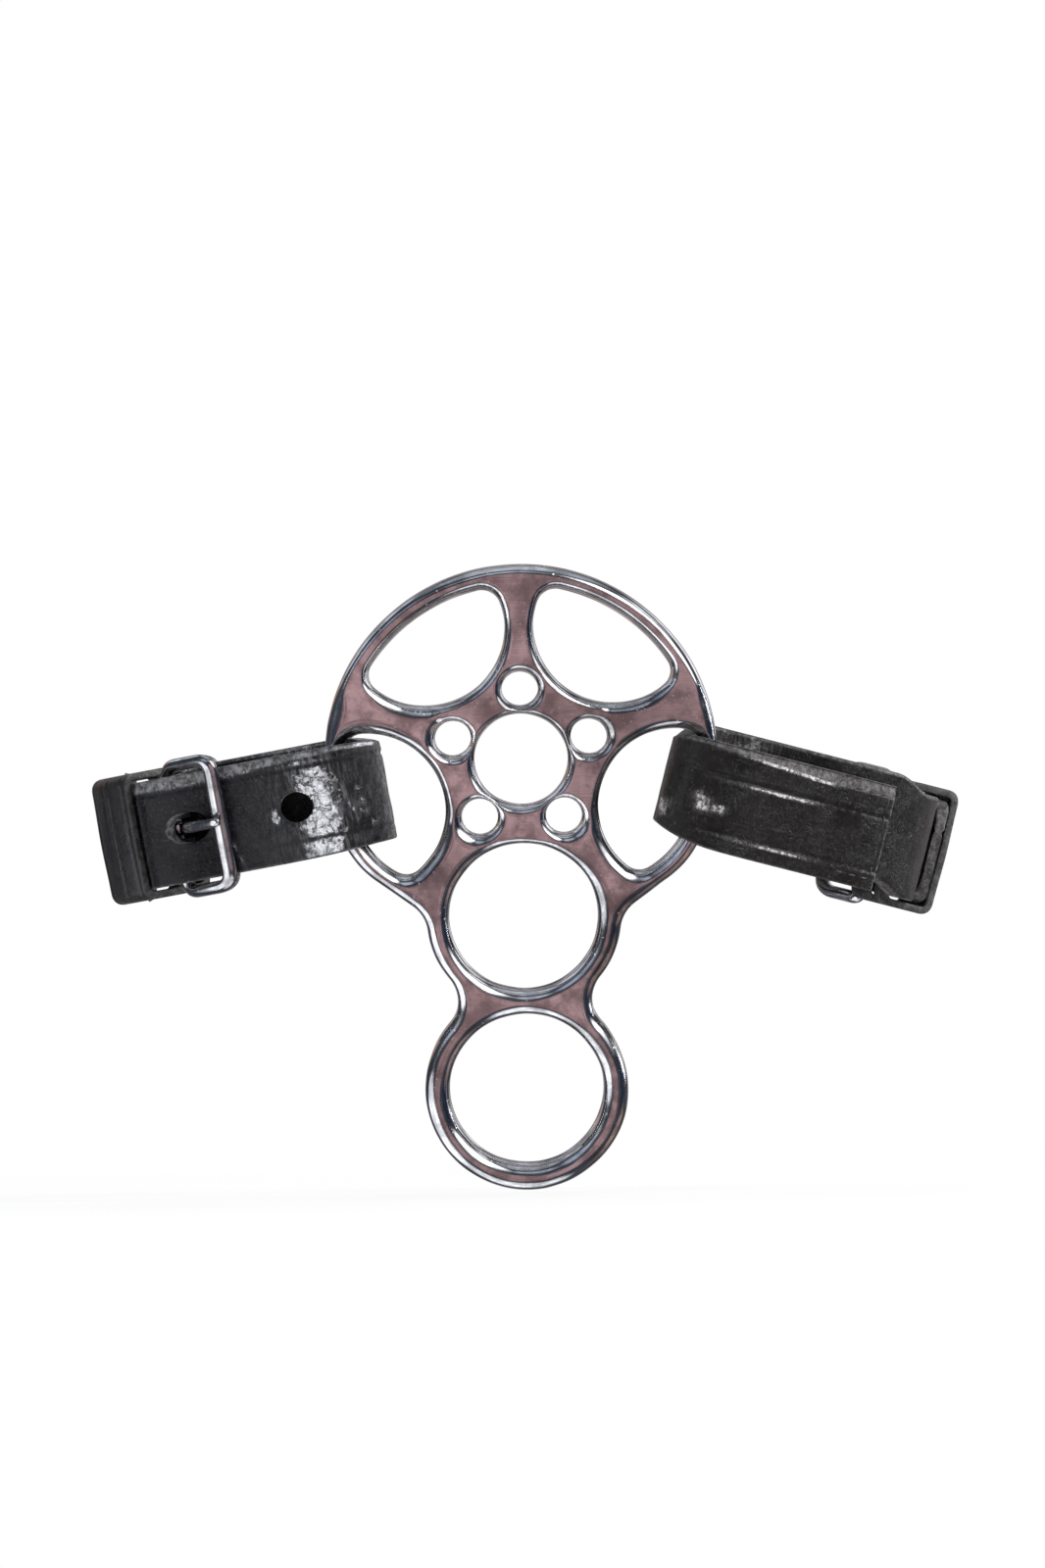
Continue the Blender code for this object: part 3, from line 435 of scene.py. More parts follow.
def leather_grain_group() -> bpy.types.NodeTree:
    """Node group of leather grain: pores between soft cells, with creased and scuffed patches.

    Returns:
        The group, which gives a height, a mottle, a scratch mask and a crack mask.
    """
    tree, tools, entry, leave = group_tree("leather_grain", ("Place", "Surface"), ("Scratches",),
                                           ("Height", "Mottle", "Scratch", "Crack"))
    place, surface = entry.outputs["Place"], entry.outputs["Surface"]
    cells = tools.add("TexVoronoi", {"feature": "SMOOTH_F1"},
                      {"Vector": place, "Scale": 1150.0, "Smoothness": 0.35}).outputs["Distance"]
    warp = tools.add("TexNoise", None, {"Vector": place, "Scale": 520.0, "Detail": 4.0}).outputs["Color"]
    bent = tools.add("VectorMath", {"operation": "MULTIPLY_ADD"},
                     {0: warp, 1: (0.0036, 0.0036, 0.0036), 2: place}).outputs[0]
    nets = [tools.add("TexVoronoi", {"feature": "DISTANCE_TO_EDGE"}, {"Vector": bent, "Scale": scale})
            for scale in (270.0, 980.0)]
    plates, fine_plates = [net.outputs["Distance"] for net in nets]
    faint = tools.spread(fine_plates, 0.0, 0.10, 0.34, 0.0)
    kept = tools.spread(tools.noise(place, 300.0), 0.42, 0.52, 0.1, 1.0)
    wide_cracks = tools.times(tools.spread(plates, 0.0, 0.085, 1.0, 0.0), kept)
    pits = tools.spread(tools.noise(bent, 900.0, 4.0, 0.7), 0.53, 0.6, 0.0, 0.95)
    cracks = tools.most(wide_cracks, faint, pits)
    height = tools.fused(cells, 0.55, tools.times(tools.noise(place, 2600.0, 2.0), 0.3))
    height = tools.fused(tools.noise(place, 260.0, 4.0, 0.6), 0.9, height)
    broad = tools.spread(tools.noise(place, 95.0, 5.0, 0.62), 0.32, 0.68, 0.0, 0.5)
    clouds = tools.spread(tools.noise(place, 560.0, 5.0, 0.72), 0.36, 0.66, 0.0, 0.5)
    marks = []
    for turn, stretch, low in ((1.12, 7.0, 0.655), (-0.5, 5.0, 0.69), (1.5, 9.0, 0.67)):
        turned = tools.mapped(surface, Rotation=(0.0, 0.0, turn), Scale=(0.55, stretch, 1.0),
                              Location=(turn * 7.3, stretch, 0.0))
        marks.append(tools.spread(tools.noise(turned, 2.0, 1.0), low, low + 0.035, 0.0, 1.0))
    broken = tools.spread(tools.noise(place, 420.0, 2.0), 0.42, 0.6, 0.0, 1.0)
    scratch = tools.times(tools.times(tools.most(*marks), broken), entry.outputs["Scratches"])
    depth = tools.spread(tools.noise(place, 130.0, 2.0), 0.4, 0.62, 0.1, 1.0)
    height = tools.fused(tools.times(cracks, depth), -0.75, height)
    tools.fill(leave, {"Height": height, "Mottle": tools.math("ADD", broad, clouds), "Crack": cracks,
                       "Scratch": scratch})
    return tree


def handling_wear_group() -> bpy.types.NodeTree:
    """Node group of polished steel's wear: soft smudges, hair scratches and bright specks.

    Returns:
        The group, which gives a smudge, a scratch height and a speck mask.
    """
    tree, tools, entry, leave = group_tree("handling_wear", ("Place",), ("Specks",),
                                           ("Smudge", "Scratch", "Speck"))
    place = entry.outputs["Place"]
    smudge = tools.spread(tools.noise(place, 170.0, 6.0, 0.65), 0.35, 0.7, 0.0, 1.0)
    hairs = [tools.noise(tools.mapped(place, Rotation=(0.0, turn, 0.0), Scale=(60.0, 60.0, 2600.0),
                                      Location=(seed, seed, seed)), 1.0, 2.0)
             for turn, seed in ((0.4, 3.0), (-0.9, 11.0), (1.35, 5.0))]
    scratch = tools.math("ADD", tools.math("ADD", hairs[0], hairs[1]), hairs[2])
    cells = tools.add("TexVoronoi", None, {"Vector": place, "Scale": 780.0, "Randomness": 1.0})
    near = tools.spread(cells.outputs["Distance"], 0.10, 0.26, 1.0, 0.0)
    chosen = tools.spread(tools.noise(place, 330.0, 3.0, 0.6), 0.47, 0.62, 0.0, 1.0)
    grit = tools.spread(tools.noise(place, 2100.0, 2.0, 0.6), 0.66, 0.74, 0.0, 0.8)
    streak = tools.mapped(place, Rotation=(0.0, 0.55, 0.0), Scale=(260.0, 260.0, 2600.0))
    nick = tools.spread(tools.noise(streak, 1.0, 2.0), 0.68, 0.76, 0.0, 0.7)
    speck = tools.times(tools.times(tools.most(near, grit, nick), chosen), entry.outputs["Specks"])
    tools.fill(leave, {"Smudge": smudge, "Scratch": scratch, "Speck": speck})
    return tree


GRAIN = leather_grain_group()
WEAR = handling_wear_group()


@dataclass(frozen=True)
class LeatherFinish:
    """Finished strap or lining leather, with grain, mottle, scratches, cut edges and, on the straps, painted
    highlights, glints and fold sheen.
    """

    name: str
    dark: Colour
    light: Colour
    # Colour of the cut edges, also laid as the painted sheen along the fold.
    edge: Colour
    # Colour of the painted highlights and glints.
    rub_and_glint: Colour
    smooth: float
    rough: float
    coat: float
    grain: float
    scratches: float
    specular: float = 0.4
    sheen: float = 0.0
    scratch_colour: Colour = (0.14, 0.135, 0.14)
    # Colour of the painted grain glints.
    grain_glint_colour: Colour = (0.13, 0.128, 0.135)

    def material(self) -> bpy.types.Material:
        """Build the leather: mottled black, dull cut edges, painted highlights and glints, and a coat over
        its grain.

        Returns:
            The material.
        """
        made, tools, shader, place = start_material(self.name)
        surface = tools.add("UVMap", {"uv_map": "surface"}).outputs[0]
        grain = tools.add("Group", {"node_tree": GRAIN},
                          {"Place": place, "Surface": surface, "Scratches": self.scratches}).outputs
        edge, glint_and_wear = tools.layer("edge"), tools.layer("glint_and_wear")
        mottle, scratch = grain["Mottle"], grain["Scratch"]
        colour = tools.mix(mottle, self.dark, self.light)
        colour = tools.mix(tools.times(scratch, 0.45), colour, self.scratch_colour)
        # Painted glints: small pale specks that stand for highlights off the grain.
        grain_glints = tools.spread(tools.noise(place, 1500.0, 3.0, 0.7), 0.6, 0.72, 0.0, 0.45)
        colour = tools.mix(grain_glints, colour, self.grain_glint_colour)
        speckled = tools.spread(tools.noise(place, 760.0, 5.0, 0.75), 0.40, 0.63, 0.2, 1.0)
        # Edge colour on the cut edges, and as the painted sheen along the fold.
        colour = tools.mix(tools.times(edge, speckled), colour, self.edge)
        # Painted highlights and glints: a pale colour laid where the mesh layer asks, broken up by ragged
        # noise, flecks and cracks, with streaks drawn along the strap.
        flecks = tools.spread(tools.noise(place, 620.0, 5.0, 0.7), 0.38, 0.6, 0.0, 1.0)
        ragged = tools.fused(tools.noise(place, 400.0, 7.0, 0.78), 2.3, -1.15)
        rub_and_glint = tools.spread(tools.math("ADD", glint_and_wear, ragged), 0.36, 0.84, 0.0, 1.0)
        rub_and_glint = tools.times(rub_and_glint, tools.fused(flecks, 0.4, 0.6))
        rub_and_glint = tools.times(rub_and_glint, tools.fused(grain["Crack"], -0.95, 1.0))
        drawn = tools.mapped(surface, Scale=(17.0, 2.4, 1.0))
        streaks = tools.spread(tools.noise(drawn, 1.0, 5.0, 0.65), 0.42, 0.66, 0.02, 0.34)
        colour = tools.mix(tools.most(rub_and_glint, tools.times(glint_and_wear, streaks)), colour, self.rub_and_glint)
        rough = tools.spread(mottle, 0.0, 1.0, self.smooth, self.rough)
        rough = tools.fused(edge, 0.18, tools.fused(scratch, 0.25, rough))
        relief = tools.fused(scratch, -0.4, grain["Height"])
        tools.fill(shader, {
            "Base Color": colour, "Roughness": rough, "Specular IOR Level": self.specular,
            "Coat Weight": self.coat, "Coat Roughness": 0.16, "Sheen Weight": self.sheen,
            "Sheen Roughness": 0.28, "Normal": tools.bump(relief, self.grain, 0.00016)})
        return made


@dataclass(frozen=True)
class SteelFinish:
    """Polished cast steel, with a painted reflection in its colour: dusky mauve on its flats and bright pale
    steel on its round edges.
    """

    name: str
    # Painted reflection tints: the first for the flats, the second for the round edges.
    flat: Colour
    edge: Colour
    smooth: float
    rough: float
    specks: float
    speck_colour: Colour = (0.92, 0.9, 0.9)

    def material(self) -> bpy.types.Material:
        """Build the steel: smudged polish, hair scratches, bright specks, and the painted reflection tint of
        its flats and round edges.

        Returns:
            The material.
        """
        made, tools, shader, place = start_material(self.name)
        wear = tools.add("Group", {"node_tree": WEAR}, {"Place": place, "Specks": self.specks}).outputs
        flat, smudge, speck = tools.layer("flat"), wear["Smudge"], wear["Speck"]
        broad = tools.spread(tools.noise(place, 46.0, 2.0), 0.36, 0.62, 1.2, 0.8)
        value = tools.times(tools.spread(smudge, 0.0, 1.0, 1.34, 0.72), broad)
        # Painted reflection: faces marked flat take the mauve that they mirror, the round edges a pale steel.
        plain = tools.mix(flat, self.edge, self.flat)
        darker = tools.add("HueSaturation", None, {"Value": value, "Color": plain}).outputs[0]
        rough = tools.fused(speck, 0.35, tools.spread(smudge, 0.0, 1.0, self.smooth, self.rough))
        hair = tools.times(wear["Scratch"], flat)
        tools.fill(shader, {
            "Base Color": tools.mix(tools.times(speck, 0.85), darker, self.speck_colour), "Metallic": 1.0,
            "Roughness": rough, "Normal": tools.bump(hair, 0.14, 0.00003)})
        return made


@dataclass(frozen=True)
class ThreadFinish:
    """Waxed black sewing thread."""

    name: str
    colour: Colour

    def material(self) -> bpy.types.Material:
        """Build the thread: twisted strands with a dull wax sheen.

        Returns:
            The material.
        """
        made, tools, shader, place = start_material(self.name)
        strands = tools.noise(place, 3200.0, 2.0)
        lighter = tuple(min(1.0, value * 2.2) for value in self.colour)
        tools.fill(shader, {
            "Base Color": tools.mix(strands, self.colour, lighter),
            "Roughness": tools.spread(strands, 0.3, 0.7, 0.45, 0.75),
            "Normal": tools.bump(strands, 0.3, 0.00008)})
        return made


# Painted reflection in the cheek steel's colours: the first is the mauve tint of flats that face the camera,
# the second the pale tint of the round edges.
CHEEK_STEEL = SteelFinish("polished_cheek_steel", (0.58, 0.505, 0.53), (0.74, 0.745, 0.76), 0.06, 0.17, 0.9)
BUCKLE_STEEL = SteelFinish("polished_buckle_steel", (0.66, 0.65, 0.65), (0.70, 0.70, 0.71), 0.09, 0.22, 0.4)
# Each leather's fifth colour is that of its painted highlights and glints; its fourth colour also paints the
# sheen along the fold.
NOSE_LEATHER = LeatherFinish("noseband_black_leather", (0.0022, 0.0021, 0.0028), (0.0145, 0.014, 0.017),
                             (0.27, 0.27, 0.28), (0.95, 0.95, 1.0), 0.22, 0.5, 0.06, 1.0, 0.25, 0.24, 0.14)
CURB_LEATHER = LeatherFinish("curb_black_leather", (0.0065, 0.0058, 0.0058), (0.0145, 0.0133, 0.0133),
                             (0.15, 0.14, 0.138), (0.7, 0.68, 0.67), 0.28, 0.5, 0.1, 0.9, 0.2, 0.3, 0.05)
LINING_LEATHER = LeatherFinish("soft_lining_leather", (0.02, 0.019, 0.019), (0.034, 0.032, 0.032),
                               (0.04, 0.038, 0.038), (0.1, 0.1, 0.1), 0.45, 0.65, 0.05, 0.9, 0.1)
CHAPE_LEATHER = LeatherFinish("thin_chape_leather", (0.014, 0.013, 0.0135), (0.026, 0.024, 0.025),
                              (0.09, 0.086, 0.085), (0.2, 0.2, 0.2), 0.3, 0.5, 0.15, 0.6, 0.25)
KEEPER_LEATHER = LeatherFinish("keeper_black_leather", (0.012, 0.0115, 0.012), (0.024, 0.023, 0.0235),
                               (0.1, 0.096, 0.095), (0.2, 0.2, 0.2), 0.24, 0.44, 0.3, 0.6, 0.3)
THREAD = ThreadFinish("waxed_black_thread", (0.02, 0.019, 0.02))


def dress(piece: bpy.types.Object, finish: bpy.types.Material, body: str,
          nodes: Sequence[str]) -> None:
    """Give a piece its finish, its body and the CAD nodes it stands for.

    Args:
        piece: Piece to dress.
        finish: Its material.
        body: Body that it rides on.
        nodes: CAD nodes that it replaces.
    """
    piece.data.materials.clear()
    piece.data.materials.append(finish)
    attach(piece, body)
    if nodes:
        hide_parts(*nodes)
    LOG.info("%s: %d faces on %s", piece.name, len(piece.data.polygons), body)


# Cheeks

@dataclass(frozen=True)
class PlateArc:
    """Arc of an outline, solid being inside it where it is convex."""

    centre: complex
    radius: float
    start: float
    sweep: float
    convex: bool

    def point(self, share: float) -> complex:
        """Point at a share of the arc's sweep."""
        return self.centre + polar(self.radius, self.start + self.sweep * share)


@dataclass
class CheekPlate:
    """Cast steel cheek: a pierced wheel above two rein rings, with every edge rounded."""

    side: Side
    finish: bpy.types.Material
    spacing: float = CHEEK_SPACING
    lean: float = CHEEK_LEAN
    half_thickness: float = 3.0 * MM
    round_high: float = 1.65 * MM
    round_low: float = 2.9 * MM
    round_deep: float = 2.45 * MM
    wheel_radius: float = RIM_RADIUS
    rim_width: float = 3.7 * MM
    spoke_width: float = 6.2 * MM
    petal_reach: float = 35.5 * MM
    petal_corner: float = 4.2 * MM
    upper_petal: float = math.radians(35.0)
    side_petal: float = math.radians(108.0)
    hub_radius: float = 10.2 * MM
    small_radius: float = 4.0 * MM
    small_reach: float = 15.6 * MM
    small_count: int = 5
    middle_drop: float = 34.8 * MM
    middle_hole: float = 16.3 * MM
    middle_width: float = 4.8 * MM
    low_drop: float = 72.9 * MM
    low_hole: float = 16.8 * MM
    low_width: float = 5.2 * MM
    shoulder_radius: float = 22.0 * MM
    shoulder_start: float = math.radians(25.0)
    shoulder_end: float = math.radians(54.0)
    fillet: float = 8.0 * MM
    cell: float = 0.42 * MM
    blend: float = 0.7 * MM
    ripple: float = 0.08 * MM
    unevenness: float = 0.24
    newton_steps: int = 3
    slope_step: float = 0.02 * MM

    def crossings(self, first: tuple[complex, float], second: tuple[complex, float]) -> list[complex]:
        """Both points where two circles cross.

        Args:
            first: Centre and radius of one circle.
            second: Centre and radius of the other.

        Returns:
            The two points.
        """
        way = second[0] - first[0]
        gap = abs(way)
        along = (first[1] ** 2 - second[1] ** 2 + gap ** 2) / (2.0 * gap)
        across = math.sqrt(max(first[1] ** 2 - along ** 2, 0.0))
        forward = way / gap
        return [first[0] + forward * complex(along, side * across) for side in (1, -1)]

    def arc(self, centre: complex, radius: float, start: float, end: float, convex: bool = True) -> PlateArc:
        """Arc from one direction to the next, anticlockwise where it is convex."""
        sweep = (end - start) % (2.0 * math.pi)
        return PlateArc(centre, radius, start, sweep if convex else sweep - 2.0 * math.pi, convex)

    def mirrored(self, arcs: Sequence[PlateArc]) -> list[PlateArc]:
        """Arcs of the left side as the right side, in their order."""
        return [PlateArc(-arc.centre.conjugate(), arc.radius, math.pi - arc.start - arc.sweep, arc.sweep,
                         arc.convex) for arc in reversed(arcs)]

    def direction(self, start: complex, end: complex) -> float:
        """Angle of the way from one point to another."""
        way = end - start
        return math.atan2(way.imag, way.real)

    def shoulder_centre(self) -> complex:
        """Centre of the left shoulder, which leaves the wheel's rim smoothly."""
        return polar(self.wheel_radius - self.shoulder_radius, math.pi + self.shoulder_start)

    def outer_arcs(self) -> list[PlateArc]:
        """Outer edge of the plate: wheel, shoulders, middle ring, waist and lower ring."""
        centre, direction = self.shoulder_centre(), self.direction
        start, end = math.pi + self.shoulder_start, math.pi + self.shoulder_end
        middle, low = complex(0.0, -self.middle_drop), complex(0.0, -self.low_drop)
        middle_radius, low_radius = self.middle_hole + self.middle_width, self.low_hole + self.low_width
        outwards = polar(1.0, end)
        forward = outwards * 1j
        line_start = centre + outwards * (self.shoulder_radius + self.fillet)
        back = line_start - middle
        dot = back.real * forward.real + back.imag * forward.imag
        along = -dot - math.sqrt(dot ** 2 - abs(back) ** 2 + (middle_radius + self.fillet) ** 2)
        corner = line_start + forward * max(along, 0.0)
        waist = min(self.crossings((middle, middle_radius + self.fillet), (low, low_radius + self.fillet)),
                    key=lambda spot: spot.real)
        left = [self.arc(centre, self.shoulder_radius, start, end),
                self.arc(corner, self.fillet, end - math.pi, direction(corner, middle), False),
                self.arc(middle, middle_radius, direction(middle, corner), direction(middle, waist)),
                self.arc(waist, self.fillet, direction(waist, middle), direction(waist, low), False)]
        low_start = direction(low, waist)
        wheel = self.arc(0j, self.wheel_radius, -self.shoulder_start, start)
        return [wheel, *left, self.arc(low, low_radius, low_start, math.pi - low_start), *self.mirrored(left)]

    def petal(self, angle: float, outer: Sequence[tuple[complex, float]]) -> list[PlateArc]:
        """Opening between two spokes.

        Args:
            angle: Angle of the opening's own disc.
            outer: Discs of the rim that bound it outside, from the top down.

        Returns:
            Its arcs.
        """
        own = polar(self.petal_reach, angle)
        radius = self.petal_reach * math.sin(self.upper_petal) - self.spoke_width / 2.0
        corner = self.petal_corner
        highest, lowest = [self.crossings((own, radius - corner), (centre, size - corner))
                           for centre, size in (outer[0], outer[-1])]
        upper = max(highest, key=lambda spot: spot.imag)
        lower = min(lowest, key=lambda spot: spot.imag)
        joint = [math.pi + self.shoulder_start] * (len(outer) - 1)
        starts = [self.direction(outer[0][0], upper)] + joint
        ends = joint + [self.direction(outer[-1][0], lower)]
        to_lower, to_upper = self.direction(own, lower), self.direction(own, upper)
        rim = [self.arc(centre, size, start, end) for (centre, size), start, end in zip(outer, starts, ends)]
        return rim + [self.arc(lower, corner, ends[-1], to_lower), self.arc(own, radius, to_lower, to_upper),
                      self.arc(upper, corner, to_upper, starts[0])]

    def openings(self) -> list[list[PlateArc]]:
        """Every opening through the plate."""
        rim = (0j, self.wheel_radius - self.rim_width)
        shoulder = (self.shoulder_centre(), self.shoulder_radius - self.rim_width)
        upper = self.petal(math.pi / 2.0 + self.upper_petal, [rim])
        lower = self.petal(math.pi / 2.0 + self.side_petal, [rim, shoulder])
        rounds = [(complex(0.0, -self.middle_drop), self.middle_hole),
                  (complex(0.0, -self.low_drop), self.low_hole), (0j, self.hub_radius)]
        for index in range(self.small_count):
            spot = polar(self.small_reach, math.pi / 2.0 + index * 2.0 * math.pi / self.small_count)
            rounds.append((spot, self.small_radius))
        return [upper, self.mirrored(upper), lower, self.mirrored(lower)] + [
            [PlateArc(centre, radius, 0.0, 2.0 * math.pi, True)] for centre, radius in rounds]

    def outline_distance(self, arcs: Sequence[PlateArc], spots: Array) -> Array:
        """Distance from each point to an outline of arcs and straight lines, negative inside it.

        Formula: each arc gives the distance to its circle where the point lies within its
        sweep, each line the distance to its foot, and the nearest of them all counts.

        Args:
            arcs: The outline, anticlockwise.
            spots: Points as complex numbers.

        Returns:
            The signed distances.
        """
        best, signed = np.full(spots.shape, 1.0), np.full(spots.shape, 1.0)

        def nearer(value: Array, valid: Array) -> None:
            """Keep a distance where it is valid and smaller than the best so far."""
            closer = valid & (np.abs(value) < best)
            best[closer], signed[closer] = np.abs(value)[closer], value[closer]

        for arc, follower in zip(arcs, [*arcs[1:], arcs[0]]):
            away = spots - arc.centre
            way = 1.0 if arc.convex else -1.0
            within = np.mod(way * (np.angle(away) - arc.start), 2.0 * math.pi) <= abs(arc.sweep)
            nearer((np.abs(away) - arc.radius) * way, within)
            start, end = arc.point(1.0), follower.point(0.0)
            length = abs(end - start)
            if length > 0.01 * MM:
                local = (spots - start) * ((end - start) / length).conjugate()
                nearer(-local.imag, (local.real >= 0.0) & (local.real <= length))
        return signed

    def plan_distance(self, spots: Array) -> Array:
        """Signed distance to the pierced plate's edge, with opposite edges blended smoothly.

        Formula: the smooth maximum of the outer edge's distance and each opening's
        distance turned round.

        Args:
            spots: Points of the plate's plane as complex numbers.

        Returns:
            The signed distances, negative in the steel.
        """
        total = self.outline_distance(self.outer_arcs(), spots)
        for arcs in self.openings():
            other = -self.outline_distance(arcs, spots)
            share = np.clip(0.5 + 0.5 * (total - other) / self.blend, 0.0, 1.0)
            total = other + (total - other) * share + self.blend * share * (1.0 - share)
        return total

    def depth_field(self, plan: Array, depth: Array, spots: Array) -> Array:
        """Signed distance to the rounded plate.

        Formula: past the rounding's start, the plan distance and the depth's distance, each
        as a share of the rounding's size, meet in a quarter of an ellipse. The rounding is
        narrow round the hub and above a line that lies 5 mm over the hub's middle, and
        11.5 mm over it at the sides. Waves of a few millimetres lift the surface a little, as
        hand polishing does.

        Args:
            plan: Plan distance of each point.
            depth: Height of each point over the plate's middle plane.
            spots: Points of the plane as complex numbers.

        Returns:
            The signed distances.
        """
        x, z = spots.real / MM, spots.imag / MM
        above = z - 5.0 - 6.5 * eased((np.abs(x) - 16.0) / 5.0)
        narrow = np.maximum(eased(above / 5.0), eased((21.0 - np.hypot(x, z)) / 4.0))
        wide = self.round_low + (self.round_high - self.round_low) * narrow
        wide = wide * (1.0 + self.unevenness * value_noise(x / 11.0 + 5.2, z / 11.0 + 33.1, 15))
        edge = np.maximum(plan / wide + 1.0, 0.0)
        face = np.maximum((np.abs(depth) - self.half_thickness) / self.round_deep + 1.0, 0.0)
        solid = (np.hypot(edge, face) - 1.0) * self.round_deep
        waves = value_noise(x / 8.1 + 9.3, z / 9.3 + 21.7, 4)
        waves += 0.35 * value_noise(x / 3.4 + 3.1, z / 3.1 + 40.2, 8)
        return solid + self.ripple * waves

    def surface(self) -> tuple[Array, Array, Array]:
        """Points, faces and normals of the plate's surface, in the plate's own plane.

        Formula: the signed distance is sampled on a grid, each cell that the surface
        crosses gets the mean of its edge crossings, and each crossed grid edge a quad. A few
        Newton steps then carry every point along the slope onto the surface.

        Returns:
            Points in the plate's plane and depth, quads, and unit normals.
        """
        margin = 3.0 * self.cell
        xs = np.arange(-self.wheel_radius - margin, self.wheel_radius + margin, self.cell)
        low_edge = -self.low_drop - self.low_hole - self.low_width - margin
        zs = np.arange(low_edge, self.wheel_radius + margin, self.cell)
        ys = np.arange(-self.half_thickness - margin, self.half_thickness + margin, self.cell)
        plane = xs[:, None] + 1j * zs[None, :]
        plan = self.plan_distance(plane)
        field = self.depth_field(plan[:, :, None], ys[None, None, :], plane[:, :, None])
        points, quads = surface_net(field)
        places = np.stack([xs[0] + points[:, 0] * self.cell, zs[0] + points[:, 1] * self.cell,
                           ys[0] + points[:, 2] * self.cell], axis=-1)
        for _ in range(self.newton_steps):
            value, slope = self.value_and_slope(places)
            places = places - slope * (value / np.maximum((slope ** 2).sum(1), 0.25))[:, None]
        return places, quads, unit(self.value_and_slope(places)[1])

    def value_and_slope(self, places: Array) -> tuple[Array, Array]:
        """Signed distance and its slope at points of the plate's plane and depth.

        Args:
            places: Points: two places in the plane, then the depth.

        Returns:
            Values, and slopes along the three directions.
        """
        spots = places[:, 0] + 1j * places[:, 1]
        depth, step = places[:, 2], self.slope_step
        plan = self.plan_distance(spots)
        value = self.depth_field(plan, depth, spots)
        right = self.depth_field(self.plan_distance(spots + step), depth, spots + step)
        above = self.depth_field(self.plan_distance(spots + 1j * step), depth, spots + 1j * step)
        deeper = self.depth_field(plan, depth + step, spots)
        slope = np.stack([right - value, above - value, deeper - value], axis=-1) / step
        return value, slope

    def build(self) -> None:
        """Build and dress the plate."""
        places, quads, normals = self.surface()
        end = self.side.value
        turn = -end * self.lean
        cosine, sine = math.cos(turn), math.sin(turn)

        def turned(vectors: Array) -> Array:
            """Turn vectors of the plate's plane and depth about the X axis."""
            x, z, y = vectors.T
            return np.stack([x, y * cosine - z * sine, y * sine + z * cosine], axis=-1)

        world = turned(places)
        world[:, 1] += end * self.spacing / 2.0
        # Painted reflection: faces square to the plate's depth, which face the camera, are marked to take the
        # mauve reflected tint.
        flat = eased((np.abs(normals[:, 2]) - 0.93) / 0.06)
        name = self.side.name.lower()
        piece = make_piece(name + "_cheek_plate", world, [quads], layers={"flat": flat})
        piece.data.normals_split_custom_set_from_vertices(turned(normals))
        dress(piece, self.finish, name + "_lever", [name + "_cheek"])


def surface_net(field: Array) -> tuple[Array, Array]:
    """Surface where a sampled field passes zero, as one point to a cell and one quad to an edge.

    Args:
        field: Values on a grid of three directions, negative inside.

    Returns:
        Points in grid steps, and quads of point numbers.
    """
    inside = field < 0.0
    shape = tuple(size - 1 for size in field.shape)
    total = np.zeros(shape + (3,))
    count = np.zeros(shape, int)
    crossed = []
    for axis in range(3):
        low, high = [slice(None)] * 3, [slice(None)] * 3
        low[axis], high[axis] = slice(0, -1), slice(1, None)
        before, after = field[tuple(low)], field[tuple(high)]
        change = inside[tuple(low)] != inside[tuple(high)]
        crossed.append(change)
        spots = np.argwhere(change)
        places = spots.astype(float)
        places[:, axis] += before[change] / (before[change] - after[change])
        for steps in np.ndindex(2, 2):
            cell = spots.copy()
            cell[:, [other for other in range(3) if other != axis]] -= steps
            good = np.all((cell >= 0) & (cell < np.array(shape)), axis=1)
            key = tuple(cell[good].T)
            np.add.at(total, key, places[good])
            np.add.at(count, key, 1)
    used = count > 0
    number = np.full(shape, -1)
    number[used] = np.arange(used.sum())
    points = total[used] / count[used][:, None]
    quads = []
    for axis in range(3):
        spots = np.argwhere(crossed[axis])
        others = [(axis + 1) % 3, (axis + 2) % 3]
        good = (spots[:, others] > 0) & (spots[:, others] < np.array(shape)[others])
        spots = spots[good.all(1)]
        ring = []
        for steps in ((1, 1), (0, 1), (0, 0), (1, 0)):
            cell = spots.copy()
            cell[:, others] -= steps
            ring.append(number[tuple(cell.T)])
        faces = np.stack(ring, axis=-1)
        outwards = inside[tuple(spots.T)]
        faces[~outwards] = faces[~outwards][:, ::-1]
        quads.append(faces)
    return points, np.concatenate(quads)


# Straps

STRAP_HALF_WIDTH = 11.7 * MM
STRAP_HALF_THICKNESS = 1.75 * MM
SEAT = 0.3 * MM
ROD_RADIUS = 1.4 * MM
HEEL_BAR = 38.5 * MM
FRONT_BAR = 25.5 * MM
CHAPE_THICKNESS = 1.5 * MM
CHAPE_TAIL = 13.5 * MM
KEEPER_WIDTH = 6.8 * MM
KEEPER_THICKNESS = 1.7 * MM
KEEPER_PLAY = 0.5 * MM
FIXED_KEEPER = 48.4 * MM
SLIDING_KEEPER = 59.7 * MM
BILLET_DIP = 3.4 * MM
LAP_START = 27.0 * MM
LAP_LENGTH = 14.0 * MM
TIP_PLACE = 68.5 * MM
TIP_LENGTH = 9.0 * MM
FIRST_HOLE = 11.2 * MM
BUCKLE_HOLE = 31.7 * MM
HOLE_RADIUS = 3.3 * MM
BUCKLE_HOLE_STRETCH = 1.6 * MM
HEEL_BAR_OUT = STRAP_HALF_THICKNESS + 2.0 * SEAT + CHAPE_THICKNESS + ROD_RADIUS
CHAPE_ROUND = ROD_RADIUS + SEAT + CHAPE_THICKNESS
CHAPE_TOP = STRAP_HALF_THICKNESS + SEAT + 2.0 * CHAPE_THICKNESS
OVER_HEEL = HEEL_BAR_OUT + CHAPE_ROUND + SEAT + STRAP_HALF_THICKNESS
